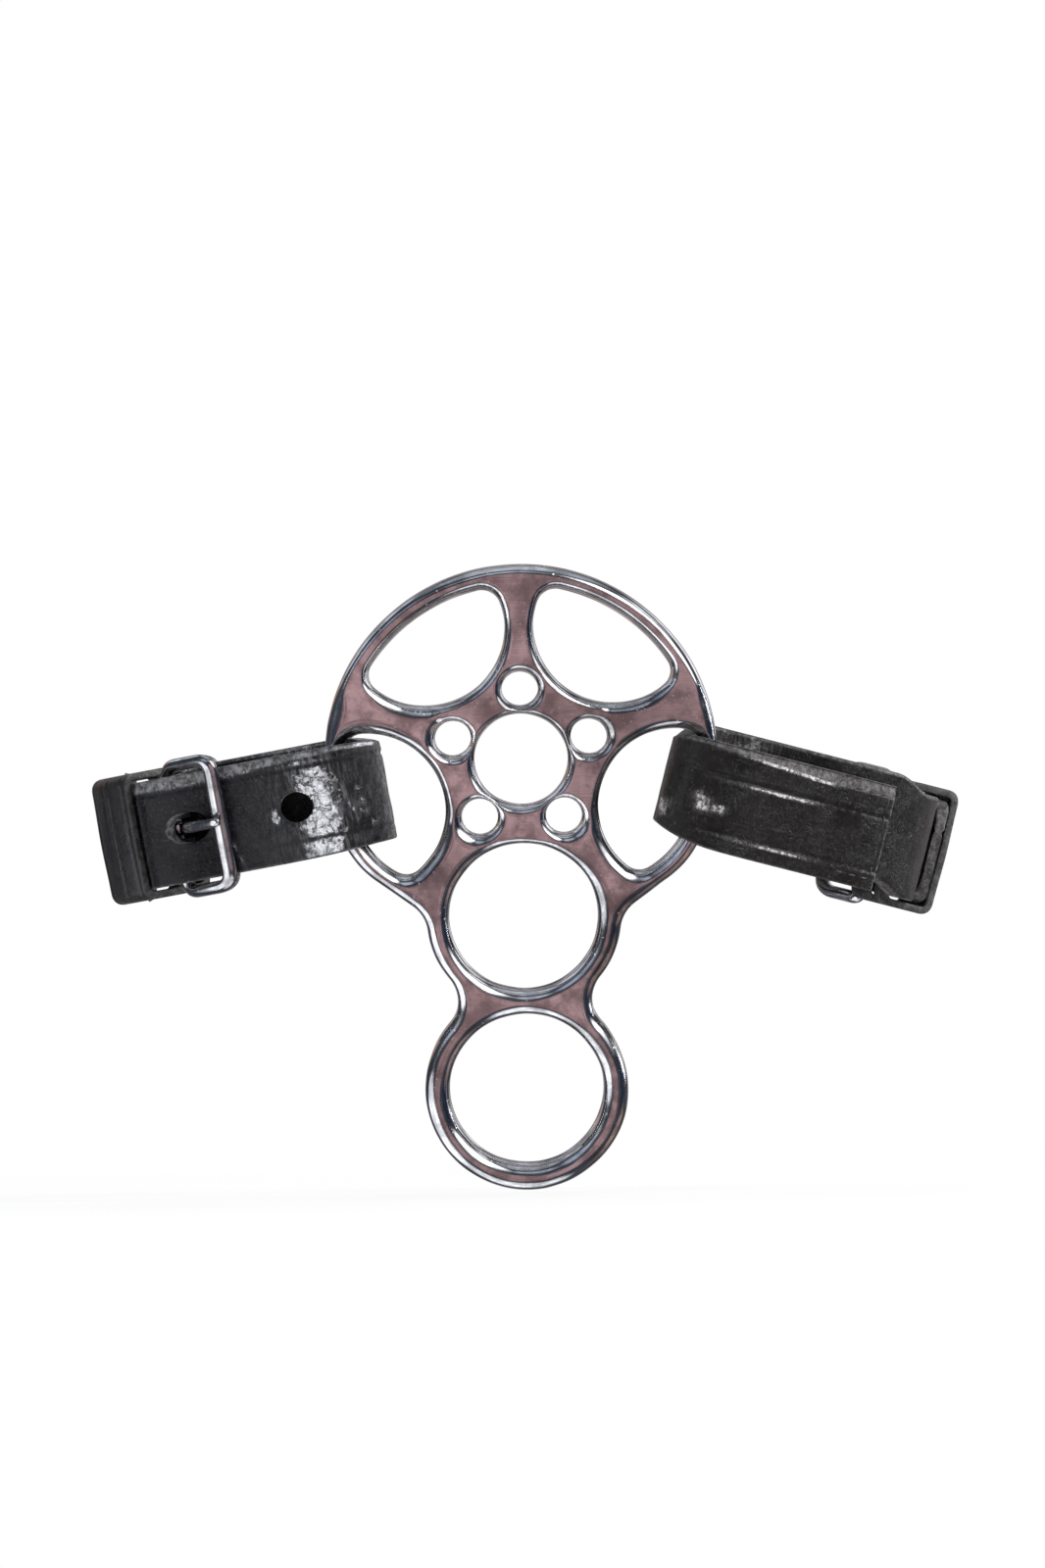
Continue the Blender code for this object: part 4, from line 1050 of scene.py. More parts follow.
OVER_TAIL = CHAPE_TOP + SEAT + STRAP_HALF_THICKNESS
AT_FRONT = OVER_HEEL - BILLET_DIP
FRONT_BAR_OUT = AT_FRONT + STRAP_HALF_THICKNESS + SEAT + ROD_RADIUS
TOGETHER = 2.0 * STRAP_HALF_THICKNESS + SEAT
LAP_END = LAP_START + LAP_LENGTH
OUT = np.array([0.0, 1.0, 0.0])
ACROSS = np.array([0.0, 0.0, 1.0])
BAND_CORNER = 0.35 * MM
GROOVE_PLACE = 1.1 * MM
GROOVE_WIDTH = 0.35 * MM


@dataclass(frozen=True)
class StrapRun:
    """Run of half a strap, from its fold round a rim to the strap's middle."""

    side: int
    end: int
    drop: float
    rise: float
    loop_gap: float
    fold_reach: float
    bend_reach: float
    spacing: float = CHEEK_SPACING
    rim_radius: float = RIM_RADIUS
    lean_start: float = CHEEK_LEAN
    lean_end: float = math.radians(22.0)
    lean_length: float = 18.0 * MM

    @property
    def loop_radius(self) -> float:
        """Radius of the fold's middle line."""
        return self.loop_gap / 2.0 + STRAP_HALF_THICKNESS

    @property
    def fold_centre(self) -> float:
        """Reach of the fold's centre from the wheel's centre."""
        return self.fold_reach + STRAP_HALF_THICKNESS + self.loop_radius

    @property
    def bend_start(self) -> float:
        """Reach at which the strap starts to bend."""
        return max(self.bend_reach, self.fold_centre)

    @property
    def bend_radius(self) -> float:
        """Radius of the strap's bend."""
        return self.spacing / 2.0 - self.loop_radius

    @property
    def half_length(self) -> float:
        """Length from the fold to the strap's middle."""
        return self.bend_start - self.fold_centre + self.bend_radius * math.pi / 2.0

    def place(self, along: Array, out: Array, across: Array) -> Array:
        """World points of places along the strap, out from its base layer and across it.

        Formula: straight to the bend's start, then round a circle, with the whole strap
        falling from the wheel at its own angle and leaning out at the top.

        Args:
            along: Length from the fold.
            out: Height over the base layer.
            across: Place across the width.

        Returns:
            The points.
        """
        straight = self.bend_start - self.fold_centre
        radius = self.bend_radius + out
        angle = np.maximum(along - straight, 0.0) / self.bend_radius
        reach = self.fold_centre + np.minimum(along, straight) + radius * np.sin(angle)
        risen = across + self.rise
        x = self.side * (reach * math.cos(self.drop) + risen * math.sin(self.drop))
        z = risen * math.cos(self.drop) - reach * math.sin(self.drop)
        share = eased((reach - self.rim_radius - 0.5 * MM) / self.lean_length)
        lean = np.tan(self.lean_start + (self.lean_end - self.lean_start) * share)
        spread = radius * np.cos(angle) * (1.0 + z * lean / (self.spacing / 2.0))
        return np.stack([x, self.end * spread, z], axis=-1)

    def carry(self, spots: Array) -> Array:
        """World points of places given in one array, along, out and across in its last axis."""
        return self.place(spots[..., 0], spots[..., 1], spots[..., 2])


def nose_run(side: Side) -> StrapRun:
    """Run of the noseband on one side."""
    return StrapRun(-1, side.value, math.radians(9.7), -1.4 * MM, 7.6 * MM, 29.8 * MM, 40.7 * MM)


def curb_run(side: Side) -> StrapRun:
    """Run of the curb strap on one side."""
    return StrapRun(1, side.value, math.radians(15.3), 2.5 * MM, 12.2 * MM, 31.2 * MM, 43.5 * MM)


def billet_out(run: StrapRun, along: Array) -> Array:
    """Height of a buckled end over the base layer."""
    knots = [(0.0, 2.0 * run.loop_radius), (FRONT_BAR, AT_FRONT), (HEEL_BAR, OVER_HEEL),
             (HEEL_BAR + ROD_RADIUS, OVER_HEEL), (FIXED_KEEPER - KEEPER_WIDTH / 2.0, OVER_TAIL),
             (HEEL_BAR + CHAPE_TAIL, OVER_TAIL), (SLIDING_KEEPER - KEEPER_WIDTH / 2.0, TOGETHER)]
    return through_knots(knots, along)


def lap_out(run: StrapRun, along: Array) -> Array:
    """Height of a stitched end over the base layer."""
    return through_knots([(0.0, 2.0 * run.loop_radius), (LAP_START, TOGETHER)], along)


def lap_thinning(along: Array) -> Array:
    """Share by which a stitched end has been thinned, over its last 5 mm."""
    return eased((along - LAP_END + 5.0 * MM) / (5.0 * MM))


@dataclass(frozen=True)
class GlintSpot:
    """Painted highlight on a strap's outer face: its middle, reach both ways, strength and slant.

    The lengths are in millimetres, from the fold and from the strap's middle line.
    """

    from_fold: float
    across: float
    length: float
    width: float
    strength: float
    slant: float = 0.0


@dataclass(frozen=True)
class LeatherRelief:
    """What the photograph shows pressed into a strap, and the highlights painted onto it, by the distance
    from the fold.
    """

    upper_crease: float
    lower_crease: float
    crease_depth: float
    lower_pull: float
    upper_pull: float
    pull_length: float
    wrinkles: float
    dimple_depth: float
    bevel_start: float
    bevel_end: float
    spots: tuple[GlintSpot, ...]
    # Strength of the painted highlight along the corner under the bevelled edge.
    corner_glint: float
    corner_middle: float
    corner_length: float
    askew: float
    askew_end: float
    # Strength of the painted sheen along the fold's crown.
    painted_fold_sheen: float
    lower_share: float
    crease_start: float
    dimple_along: float = 4.6 * MM
    dimple_across: float = -2.6 * MM
    hole_rim: float = 0.16 * MM
    bevel_depth: float = 0.75 * MM
    bevel_length: float = 42.0 * MM

    def bevel(self, from_fold: Array) -> Array:
        """Height of the bevelled upper edge, from its size at the fold to its full size."""
        share = eased(from_fold / self.bevel_length)
        return self.bevel_start + (self.bevel_end - self.bevel_start) * share

    def shift(self, from_fold: Array) -> Array:
        """Rise of the base layer, whose fold lies askew, by its length from the fold."""
        grown = eased(-from_fold / (10.0 * MM))
        return self.askew * grown * (1.0 - eased((-from_fold - self.askew_end) / (16.0 * MM)))

    def glint_and_wear(self, from_fold: Array, across: Array) -> Array:
        """Strength of the painted highlights at places of the outer face.

        Formula: each painted highlight spot is a bell of the second power along the strap and of
        the fourth across it, the painted highlight along the corner under the bevelled edge is one
        of the fourth power both ways, and the strongest one counts.

        Args:
            from_fold: Length from the fold's crown.
            across: Place across the strap.

        Returns:
            Painted highlight strength from 0 to 1.
        """
        total = np.zeros(np.broadcast_shapes(from_fold.shape, across.shape))
        for spot in self.spots:
            off_across = across - spot.across * MM
            off_along = from_fold - spot.from_fold * MM - spot.slant * off_across
            far = (off_along / (spot.length * MM)) ** 2 + (off_across / (spot.width * MM)) ** 4
            total = np.maximum(total, spot.strength * np.exp(-far))
        upper = across - (STRAP_HALF_WIDTH - self.upper_crease)
        lower = across + (STRAP_HALF_WIDTH - self.lower_crease)
        total = total * (1.0 - 0.85 * np.minimum(bump(upper, 0.45 * MM) + bump(lower, 0.45 * MM), 1.0))
        corner = (across - STRAP_HALF_WIDTH + self.bevel(from_fold)) / (0.42 * MM)
        far = corner ** 4 + ((from_fold - self.corner_middle) / self.corner_length) ** 4
        return np.maximum(total, self.corner_glint * np.exp(-far))


# Painted highlights of the near noseband end: a broad glossy patch with its halo, thin streaks, a glare on
# the top edge near the fold and a small glint; the corner terms paint a highlight under the bevel.
NOSE_RELIEF = LeatherRelief(
    upper_crease=3.3 * MM, lower_crease=4.3 * MM, crease_depth=0.26 * MM, lower_pull=1.1 * MM,
    upper_pull=0.5 * MM, pull_length=12.0 * MM, wrinkles=0.09 * MM, dimple_depth=0.0,
    bevel_start=1.1 * MM, bevel_end=2.6 * MM,
    spots=(GlintSpot(15.6, -2.2, 3.7, 12.0, 1.05, 0.03), GlintSpot(16.4, 8.4, 5.0, 1.6, 0.62),
           GlintSpot(12.0, -6.0, 1.8, 5.0, 0.34), GlintSpot(14.0, -1.0, 10.0, 12.0, 0.25),
           GlintSpot(5.0, 10.8, 3.0, 0.5, 0.9), GlintSpot(10.6, 1.5, 0.4, 8.0, 0.6, 0.3),
           GlintSpot(7.4, -1.5, 0.3, 7.0, 0.4, 0.22), GlintSpot(33.5, -4.0, 0.4, 6.0, 0.55, 0.3),
           GlintSpot(23.4, -1.2, 1.1, 1.8, 0.85)),
    corner_glint=0.5, corner_middle=36.0 * MM, corner_length=12.0 * MM, askew=1.3 * MM,
    askew_end=36.0 * MM, painted_fold_sheen=0.85, lower_share=0.3, crease_start=-14.0 * MM)
# Painted highlights of the near curb end: lines beside both creases, glints round the dimple and one at the
# fold; the corner terms paint a dotted highlight under the bevel.
CURB_RELIEF = LeatherRelief(
    upper_crease=7.3 * MM, lower_crease=4.2 * MM, crease_depth=0.32 * MM, lower_pull=3.3 * MM,
    upper_pull=0.9 * MM, pull_length=9.0 * MM, wrinkles=0.028 * MM, dimple_depth=0.55 * MM,
    bevel_start=1.0 * MM, bevel_end=3.1 * MM,
    spots=(GlintSpot(25.0, 3.7, 7.0, 0.4, 1.15), GlintSpot(26.0, -8.4, 9.0, 0.4, 0.72),
           GlintSpot(11.0, -0.8, 1.1, 1.3, 0.74), GlintSpot(12.2, -2.2, 1.5, 1.9, 0.8),
           GlintSpot(14.8, -2.6, 1.3, 1.2, 0.74), GlintSpot(3.4, -5.0, 2.4, 2.4, 0.75)),
    corner_glint=1.05, corner_middle=27.0 * MM, corner_length=11.0 * MM, askew=3.0 * MM,
    askew_end=56.0 * MM, painted_fold_sheen=0.45, lower_share=0.7, crease_start=5.0 * MM)


@dataclass
class StrapSection:
    """Section of a strap: a rectangle with rounded corners."""

    corner: float = 0.6 * MM
    face_points: int = 64
    corner_points: int = 4
    edge_points: int = 3

    def outline(self) -> Array:
        """Points round the section.

        Returns:
            A row for each point: share of the half width and offset from it, share of the
            half thickness and offset from it, the normal's part along the thickness, and
            the edge share.
        """
        rows = []
        face = np.linspace(1.0, -1.0, self.face_points)
        for index, (wide, deep) in enumerate(((1.0, 1.0), (-1.0, 1.0), (-1.0, -1.0), (1.0, -1.0))):
            for step in range(self.corner_points + 1):
                angle = math.pi / 2.0 * (index + step / self.corner_points)
                rows.append((wide, (math.cos(angle) - wide) * self.corner, deep,
                             (math.sin(angle) - deep) * self.corner, math.sin(angle), math.cos(angle) ** 2))
            if index % 2 == 0:
                rows += [(value, -value * self.corner, deep, 0.0, deep, 0.0)
                         for value in (face[1:-1] if deep > 0.0 else face[-2:0:-1])]
            else:
                values = [deep * (1.0 - 2.0 * step / (self.edge_points + 1))
                          for step in range(1, self.edge_points + 1)]
                rows += [(wide, 0.0, value, -value * self.corner, 0.0, 1.0) for value in values]
        return np.array(rows)


@dataclass
class Stations:
    """Places of half a strap's section, from its free end over the fold to its middle."""

    along: Array
    out: Array
    side_along: Array
    side_out: Array
    width: Array
    thick: Array
    from_fold: Array


@dataclass
class StrapHalf:
    """Half of a strap: outer layer, fold and base layer, as arrays of stations."""

    run: StrapRun
    kind: StrapEndKind
    relief: LeatherRelief
    step: float = 0.55 * MM

    def stations(self) -> Stations:
        """Stations from the free end to the middle.

        Returns:
            The stations. Their lengths from the fold's crown are positive on the outer layer.
        """
        run = self.run
        punched = self.kind is StrapEndKind.PUNCHED
        length = TIP_PLACE if punched else LAP_END
        height = billet_out if punched else lap_out
        outer = np.linspace(length, 0.0, int(length / self.step) + 1)
        if punched:
            tip = TIP_PLACE - TIP_LENGTH + TIP_LENGTH * np.sin(np.linspace(math.pi / 2.0, 0.0, 18))
            outer = np.concatenate([tip[:-1], outer[outer <= TIP_PLACE - TIP_LENGTH]])
        slope = (height(run, outer + 0.1 * MM) - height(run, outer - 0.1 * MM)) / (0.2 * MM)
        scale = np.hypot(slope, 1.0)
        fold = np.linspace(math.pi, 0.0, 30)[1:-1]
        base = np.linspace(0.0, run.half_length, int(run.half_length / self.step) + 1)
        radius, quarter = run.loop_radius, run.loop_radius * math.pi / 2.0
        along = np.concatenate([outer, -radius * np.sin(fold), base])
        width = np.full(len(along), STRAP_HALF_WIDTH)
        thick = np.full(len(along), STRAP_HALF_THICKNESS)
        if punched:
            share = np.clip((outer - TIP_PLACE + TIP_LENGTH) / TIP_LENGTH, 0.0, 1.0)
            width[:len(outer)] *= 1.0 - 0.64 * (1.0 - np.sqrt(1.0 - share ** 2))
            thick[:len(outer)] *= 1.0 - 0.45 * np.maximum(share - 0.6, 0.0) / 0.4
        else:
            thick[:len(outer)] *= 1.0 - 0.5 * lap_thinning(outer)
        return Stations(
            along=along, width=width, thick=thick,
            out=np.concatenate([height(run, outer), radius * (1.0 - np.cos(fold)), np.zeros(len(base))]),
            side_along=np.concatenate([slope / scale, np.sin(fold), np.zeros(len(base))]),
            side_out=np.concatenate([-1.0 / scale, np.cos(fold), np.ones(len(base))]),
            from_fold=np.concatenate([outer + quarter, radius * fold - quarter, -base - quarter]))

    def displacement(self, from_fold: Array, across: Array, sign: Array) -> Array:
        """Height of the leather over its plain surface.

        Formula: a shallow groove at each crease, soft unevenness of two sizes, wrinkles
        across the strap near the fold, a raised lip round the punched hole, and a puckered
        dimple.

        Args:
            from_fold: Length from the fold's crown, positive on the outer layer.
            across: Place across the strap.
            sign: Which face: 1 towards the rim, -1 away from it.

        Returns:
            The heights.
        """
        relief = self.relief
        upper = across - (STRAP_HALF_WIDTH - relief.upper_crease)
        lower = across + (STRAP_HALF_WIDTH - relief.lower_crease)
        faded = relief.crease_depth * eased((from_fold - relief.crease_start) / (8.0 * MM))
        height = -faded * (bump(upper, 0.42 * MM) + relief.lower_share * bump(lower, 0.42 * MM))
        height += 0.35 * faded * (bump(upper - 0.95 * MM, 0.5 * MM)
                                  + relief.lower_share * bump(lower + 0.95 * MM, 0.5 * MM))
        away = (sign < 0).astype(float)
        bevel = relief.bevel(from_fold)
        over = np.clip((across - STRAP_HALF_WIDTH + bevel) / bevel, 0.0, 1.2)
        height -= away * relief.bevel_depth * over ** 1.4 * eased((from_fold + 4.0 * MM) / (6.0 * MM))
        seed = 11 if self.run.side < 0 else 23
        creased = relief.wrinkles * bump(from_fold - 14.0 * MM, 9.0 * MM) * away
        first, second = from_fold / MM, across / MM
        for size, long, wide, shift in ((0.05 * MM, 6.0, 5.0, sign), (0.02 * MM, 1.7, 1.9, sign),
                                        (creased, 0.75, 7.0, 0.0), (0.6 * creased, 0.42, 4.0, 0.0)):
            height += size * value_noise(first / long + 30.0, second / wide + 30.0 + shift, seed)
            seed += 1
        if self.kind is StrapEndKind.PUNCHED:
            for hole in (FIRST_HOLE, BUCKLE_HOLE):
                ring = np.hypot(from_fold - hole - self.run.loop_radius * math.pi / 2.0, across) - HOLE_RADIUS
                lip, sink = bump(ring - 0.55 * MM, 0.6 * MM), bump(ring + 0.1 * MM, 0.5 * MM)
                height += relief.hole_rim * (lip - 1.3 * sink) * away
        elif relief.dimple_depth:
            off_along = from_fold - relief.dimple_along - self.run.loop_radius
            off_across = across - relief.dimple_across
            ring = np.hypot(off_along, off_across)
            petals = np.cos(7.0 * np.arctan2(off_across, off_along) + 0.8)
            height += away * relief.dimple_depth * (0.16 * petals * bump(ring - 2.0 * MM, 1.5 * MM)
                                                    - bump(ring, 2.3 * MM))
        return height

    def rings(self, section: StrapSection) -> tuple[Array, Array, Array, Array]:
        """Rings of points, their surface places, their edge shares with the painted fold sheen, and their
        painted highlights and wear.

        Args:
            section: The strap's section.

        Returns:
            Points by station and place round the section, surface places in centimetres,
            edge shares with the painted fold sheen, and painted highlights and wear.
        """
        at, relief = self.stations(), self.relief
        wide, wide_offset, deep, deep_offset, normal, edge = section.outline().T
        from_fold = at.from_fold[:, None]
        pulled = np.where(wide < 0.0, relief.lower_pull * bump(from_fold, relief.pull_length),
                          relief.upper_pull * bump(from_fold, 0.5 * relief.pull_length))
        half = at.width[:, None] - pulled
        across = wide * half + wide_offset
        faces = np.sign(normal) * (np.abs(normal) > 0.9)
        height = self.displacement(from_fold, across, faces)
        through = deep * at.thick[:, None] + deep_offset + height * normal ** 2 * normal
        points = self.run.place(at.along[:, None] + through * at.side_along[:, None],
                                at.out[:, None] + through * at.side_out[:, None],
                                across + relief.shift(from_fold))
        beyond = across - half
        banded = (eased((beyond + relief.bevel(from_fold)) / (0.35 * MM))
                  * eased((from_fold + 5.0 * MM) / (5.0 * MM)))
        # Painted sheen: a pale band at the fold's crown, where the bend turns away, laid in the edge shares.
        folded = relief.painted_fold_sheen * bump(from_fold, 3.6 * MM)
        lined = (0.8 * eased((beyond + 0.9 * MM) / (0.3 * MM))
                 * eased((-from_fold - 5.0 * MM) / (5.0 * MM)))
        # A pale mottled band on the inner face near its top edge, kept in the same layer as the painted
        # highlights.
        mottled = (0.46 * np.exp(-((from_fold + 17.0 * MM) / (10.0 * MM)) ** 4)
                   * eased(beyond / (3.0 * MM) + 2.0))
        outer_face, inner_face = faces < 0, faces > 0
        share = np.where(outer_face, np.maximum(banded, folded), np.where(inner_face, lined, 0.0))
        # Painted highlights and glints on the outer face; the mottled band on the inner face.
        glint_and_wear = np.where(outer_face, relief.glint_and_wear(from_fold, across), np.where(inner_face, mottled, 0.0))
        travel = path_lengths(points[:, 0])
        outline = [wide * STRAP_HALF_WIDTH + wide_offset, deep * STRAP_HALF_THICKNESS + deep_offset]
        around = np.cumsum(np.hypot(*np.diff(outline, axis=1, prepend=np.zeros((2, 1)))))
        return points, surface_places(travel[:, None], around), np.maximum(share, edge), glint_and_wear

    def cut(self, piece: bpy.types.Object, along: float, stretch: float) -> None:
        """Punch a round or long hole through the outer layer.

        Args:
            piece: The strap.
            along: Place of the hole.
            stretch: Extra length of a long hole.
        """
        angle = 2.0 * math.pi * (np.arange(40) + 0.5) / 40
        reach = STRAP_HALF_THICKNESS + 0.9 * MM
        place = along + HOLE_RADIUS * np.cos(angle) + np.where(np.cos(angle) > 0.0, stretch, 0.0)
        out = billet_out(self.run, place) + np.linspace(-reach, reach, 5)[:, None]
        cut_hole(piece, self.run.place(place, out, HOLE_RADIUS * np.sin(angle)))


def join_halves(near: Sequence[Array], far: Sequence[Array]) -> list[Array]:
    """Join the arrays of a strap's two halves at its middle.

    Args:
        near: Points, surface places and any other values of the near half, ring by ring.
        far: The same of the far half. Its surface places are turned to run on.

    Returns:
        The joined arrays.
    """
    far[1][..., 0] = near[1][-1, 0, 0] + far[1][-1, 0, 0] - far[1][..., 0]
    return [np.concatenate([first, second[-2::-1]]) for first, second in zip(near, far)]


@dataclass
class Strap:
    """Whole strap: a near half and a far half joined at its middle."""

    name: str
    near: StrapHalf
    far: StrapHalf
    finish: bpy.types.Material
    body: str
    slot: str
    node: str

    def build(self) -> None:
        """Build, punch and dress the strap."""
        section = StrapSection()
        points, flow, edge, glint_and_wear = join_halves(self.near.rings(section), self.far.rings(section))
        edge[[0, -1]] = 1.0
        # The edge layer also holds the painted sheen along the fold; the other layer holds the painted
        # highlights and glints.
        piece = make_piece(self.name, with_middles(points), loft_faces(*points.shape[:2]), with_middles(flow),
                           {"edge": with_middles(edge), "glint_and_wear": with_middles(glint_and_wear, np.zeros(2))})
        for half in (self.near, self.far):
            if half.kind is StrapEndKind.PUNCHED:
                half.cut(piece, FIRST_HOLE, 0.0)
                half.cut(piece, BUCKLE_HOLE, BUCKLE_HOLE_STRETCH)
        sharpen(piece)
        dress(piece, self.finish, self.body, [self.node])


# Buckles, chapes and keepers

def tube(run: StrapRun, path: Array, sideways: Array, upwards: Array, wide: Array | float,
         thick: Array | float, sides: int, closed: bool = False, square: float = 1.0) -> tuple[Array, Faces]:
    """Rings of a superellipse round the points of a path, joined and capped.

    Args:
        run: Strap run that the path lies on.
        path: Path points: along, out and across.
        sideways: Direction of the section's width.
        upwards: Direction of its thickness.
        wide: Half width.
        thick: Half thickness.
        sides: Number of points round the section.
        closed: Whether the path closes.
        square: 1 for an ellipse, less for squarer corners.

    Returns:
        Points and groups of faces.
    """
    angle = 2.0 * math.pi * (np.arange(sides) + 0.5) / sides
    first, second = [np.sign(part) * np.abs(part) ** square for part in (np.cos(angle), np.sin(angle))]
    points = run.carry(path[:, None] + sideways[..., None, :] * np.multiply.outer(wide, first)[..., None]
                       + upwards[..., None, :] * np.multiply.outer(thick, second)[..., None])
    faces = loft_faces(len(path), sides, closed)
    return (points.reshape(-1, 3) if closed else with_middles(points, run.carry(path[[0, -1]]))), faces


def band(run: StrapRun, path: Array, sideways: Array, half_width: float, half_thickness: float,
         closed: bool, groove: float, across: int) -> tuple[Array, Faces, Array, dict[str, Array]]:
    """Carry a flat leather band along a path in a plane of the strap.

    Formula: the section is a rectangle whose corners are rounded, its width along one
    direction and its thickness square to that and to the path, with a groove near each edge.

    Args:
        run: Strap run that the path lies on.
        path: Path points: along, out and across.
        sideways: Direction of the band's width.
        half_width: Half the width.
        half_thickness: Half the thickness.
        closed: Whether the path closes.
        groove: Depth of the groove near each edge.
        across: Number of points across a face.

    Returns:
        Points, groups of faces, surface places in centimetres and edge shares.
    """
    def corner(way: float, start: float) -> Array:
        """Quarter circle at one upper corner of the section, with its edge shares."""
        angle = start + np.linspace(0.0, math.pi / 2.0, 4)
        across = way * (half_width - BAND_CORNER) + BAND_CORNER * np.cos(angle)
        out = half_thickness - BAND_CORNER + BAND_CORNER * np.sin(angle)
        return np.stack([across, out, np.cos(angle) ** 2], axis=-1)

    face = np.linspace(1.0, -1.0, across)[1:-1]
    depth = groove * bump((1.0 - np.abs(face)) * half_width - GROOVE_PLACE, GROOVE_WIDTH)
    upper = np.stack([face * (half_width - BAND_CORNER), half_thickness - depth, 0.0 * face], axis=-1)
    section = np.concatenate([corner(1.0, 0.0), upper, corner(-1.0, math.pi / 2.0)])
    section = np.concatenate([section, section * (-1.0, -1.0, 1.0)])
    upwards = unit(np.cross(sideways, headings(path, closed)))
    points = run.carry(path[:, None] + sideways * section[:, :1] + upwards[:, None] * section[:, 1:2])
    flow = surface_places(path_lengths(path)[:, None], path_lengths(section[:, :2]))
    edge = np.tile(section[:, 2], (len(path), 1))
    faces = loft_faces(*edge.shape, closed)
    if closed:
        return points.reshape(-1, 3), faces, flow.reshape(-1, 2), {"edge": edge.ravel()}
    edge[[0, -1]] = 1.0
    flow = with_middles(flow, flow[[0, -1], [0, -1]])
    return with_middles(points), faces, flow, {"edge": with_middles(edge)}


def rounded_path(corners: Sequence[tuple[float, float]], radius: float, steps: int) -> Array:
    """Closed path round a polygon with round corners.

    Args:
        corners: Corners in order.
        radius: Radius of the rounding.
        steps: Facets in each corner, and half of those between two corners.

    Returns:
        Points of the path.
    """
    spots = [complex(*corner) for corner in corners]
    share = np.linspace(0.0, 1.0, steps + 1)
    curves = []
    for index, spot in enumerate(spots):
        back, ahead = [(other - spot) / abs(other - spot)
                       for other in (spots[index - 1], spots[(index + 1) % len(spots)])]
        reach = radius / math.tan(abs(np.angle(ahead / back)) / 2.0)
        start, end = spot + back * reach, spot + ahead * reach
        curves.append(start * (1 - share) ** 2 + 2 * spot * share * (1 - share) + end * share ** 2)
    path = []
    for curve, follower in zip(curves, curves[1:] + curves[:1]):
        path += [curve, curve[-1] + (follower[0] - curve[-1]) * np.linspace(0.0, 1.0, 2 * steps + 1)[1:-1]]
    joined = np.concatenate(path)
    return np.stack([joined.real, joined.imag], axis=-1)


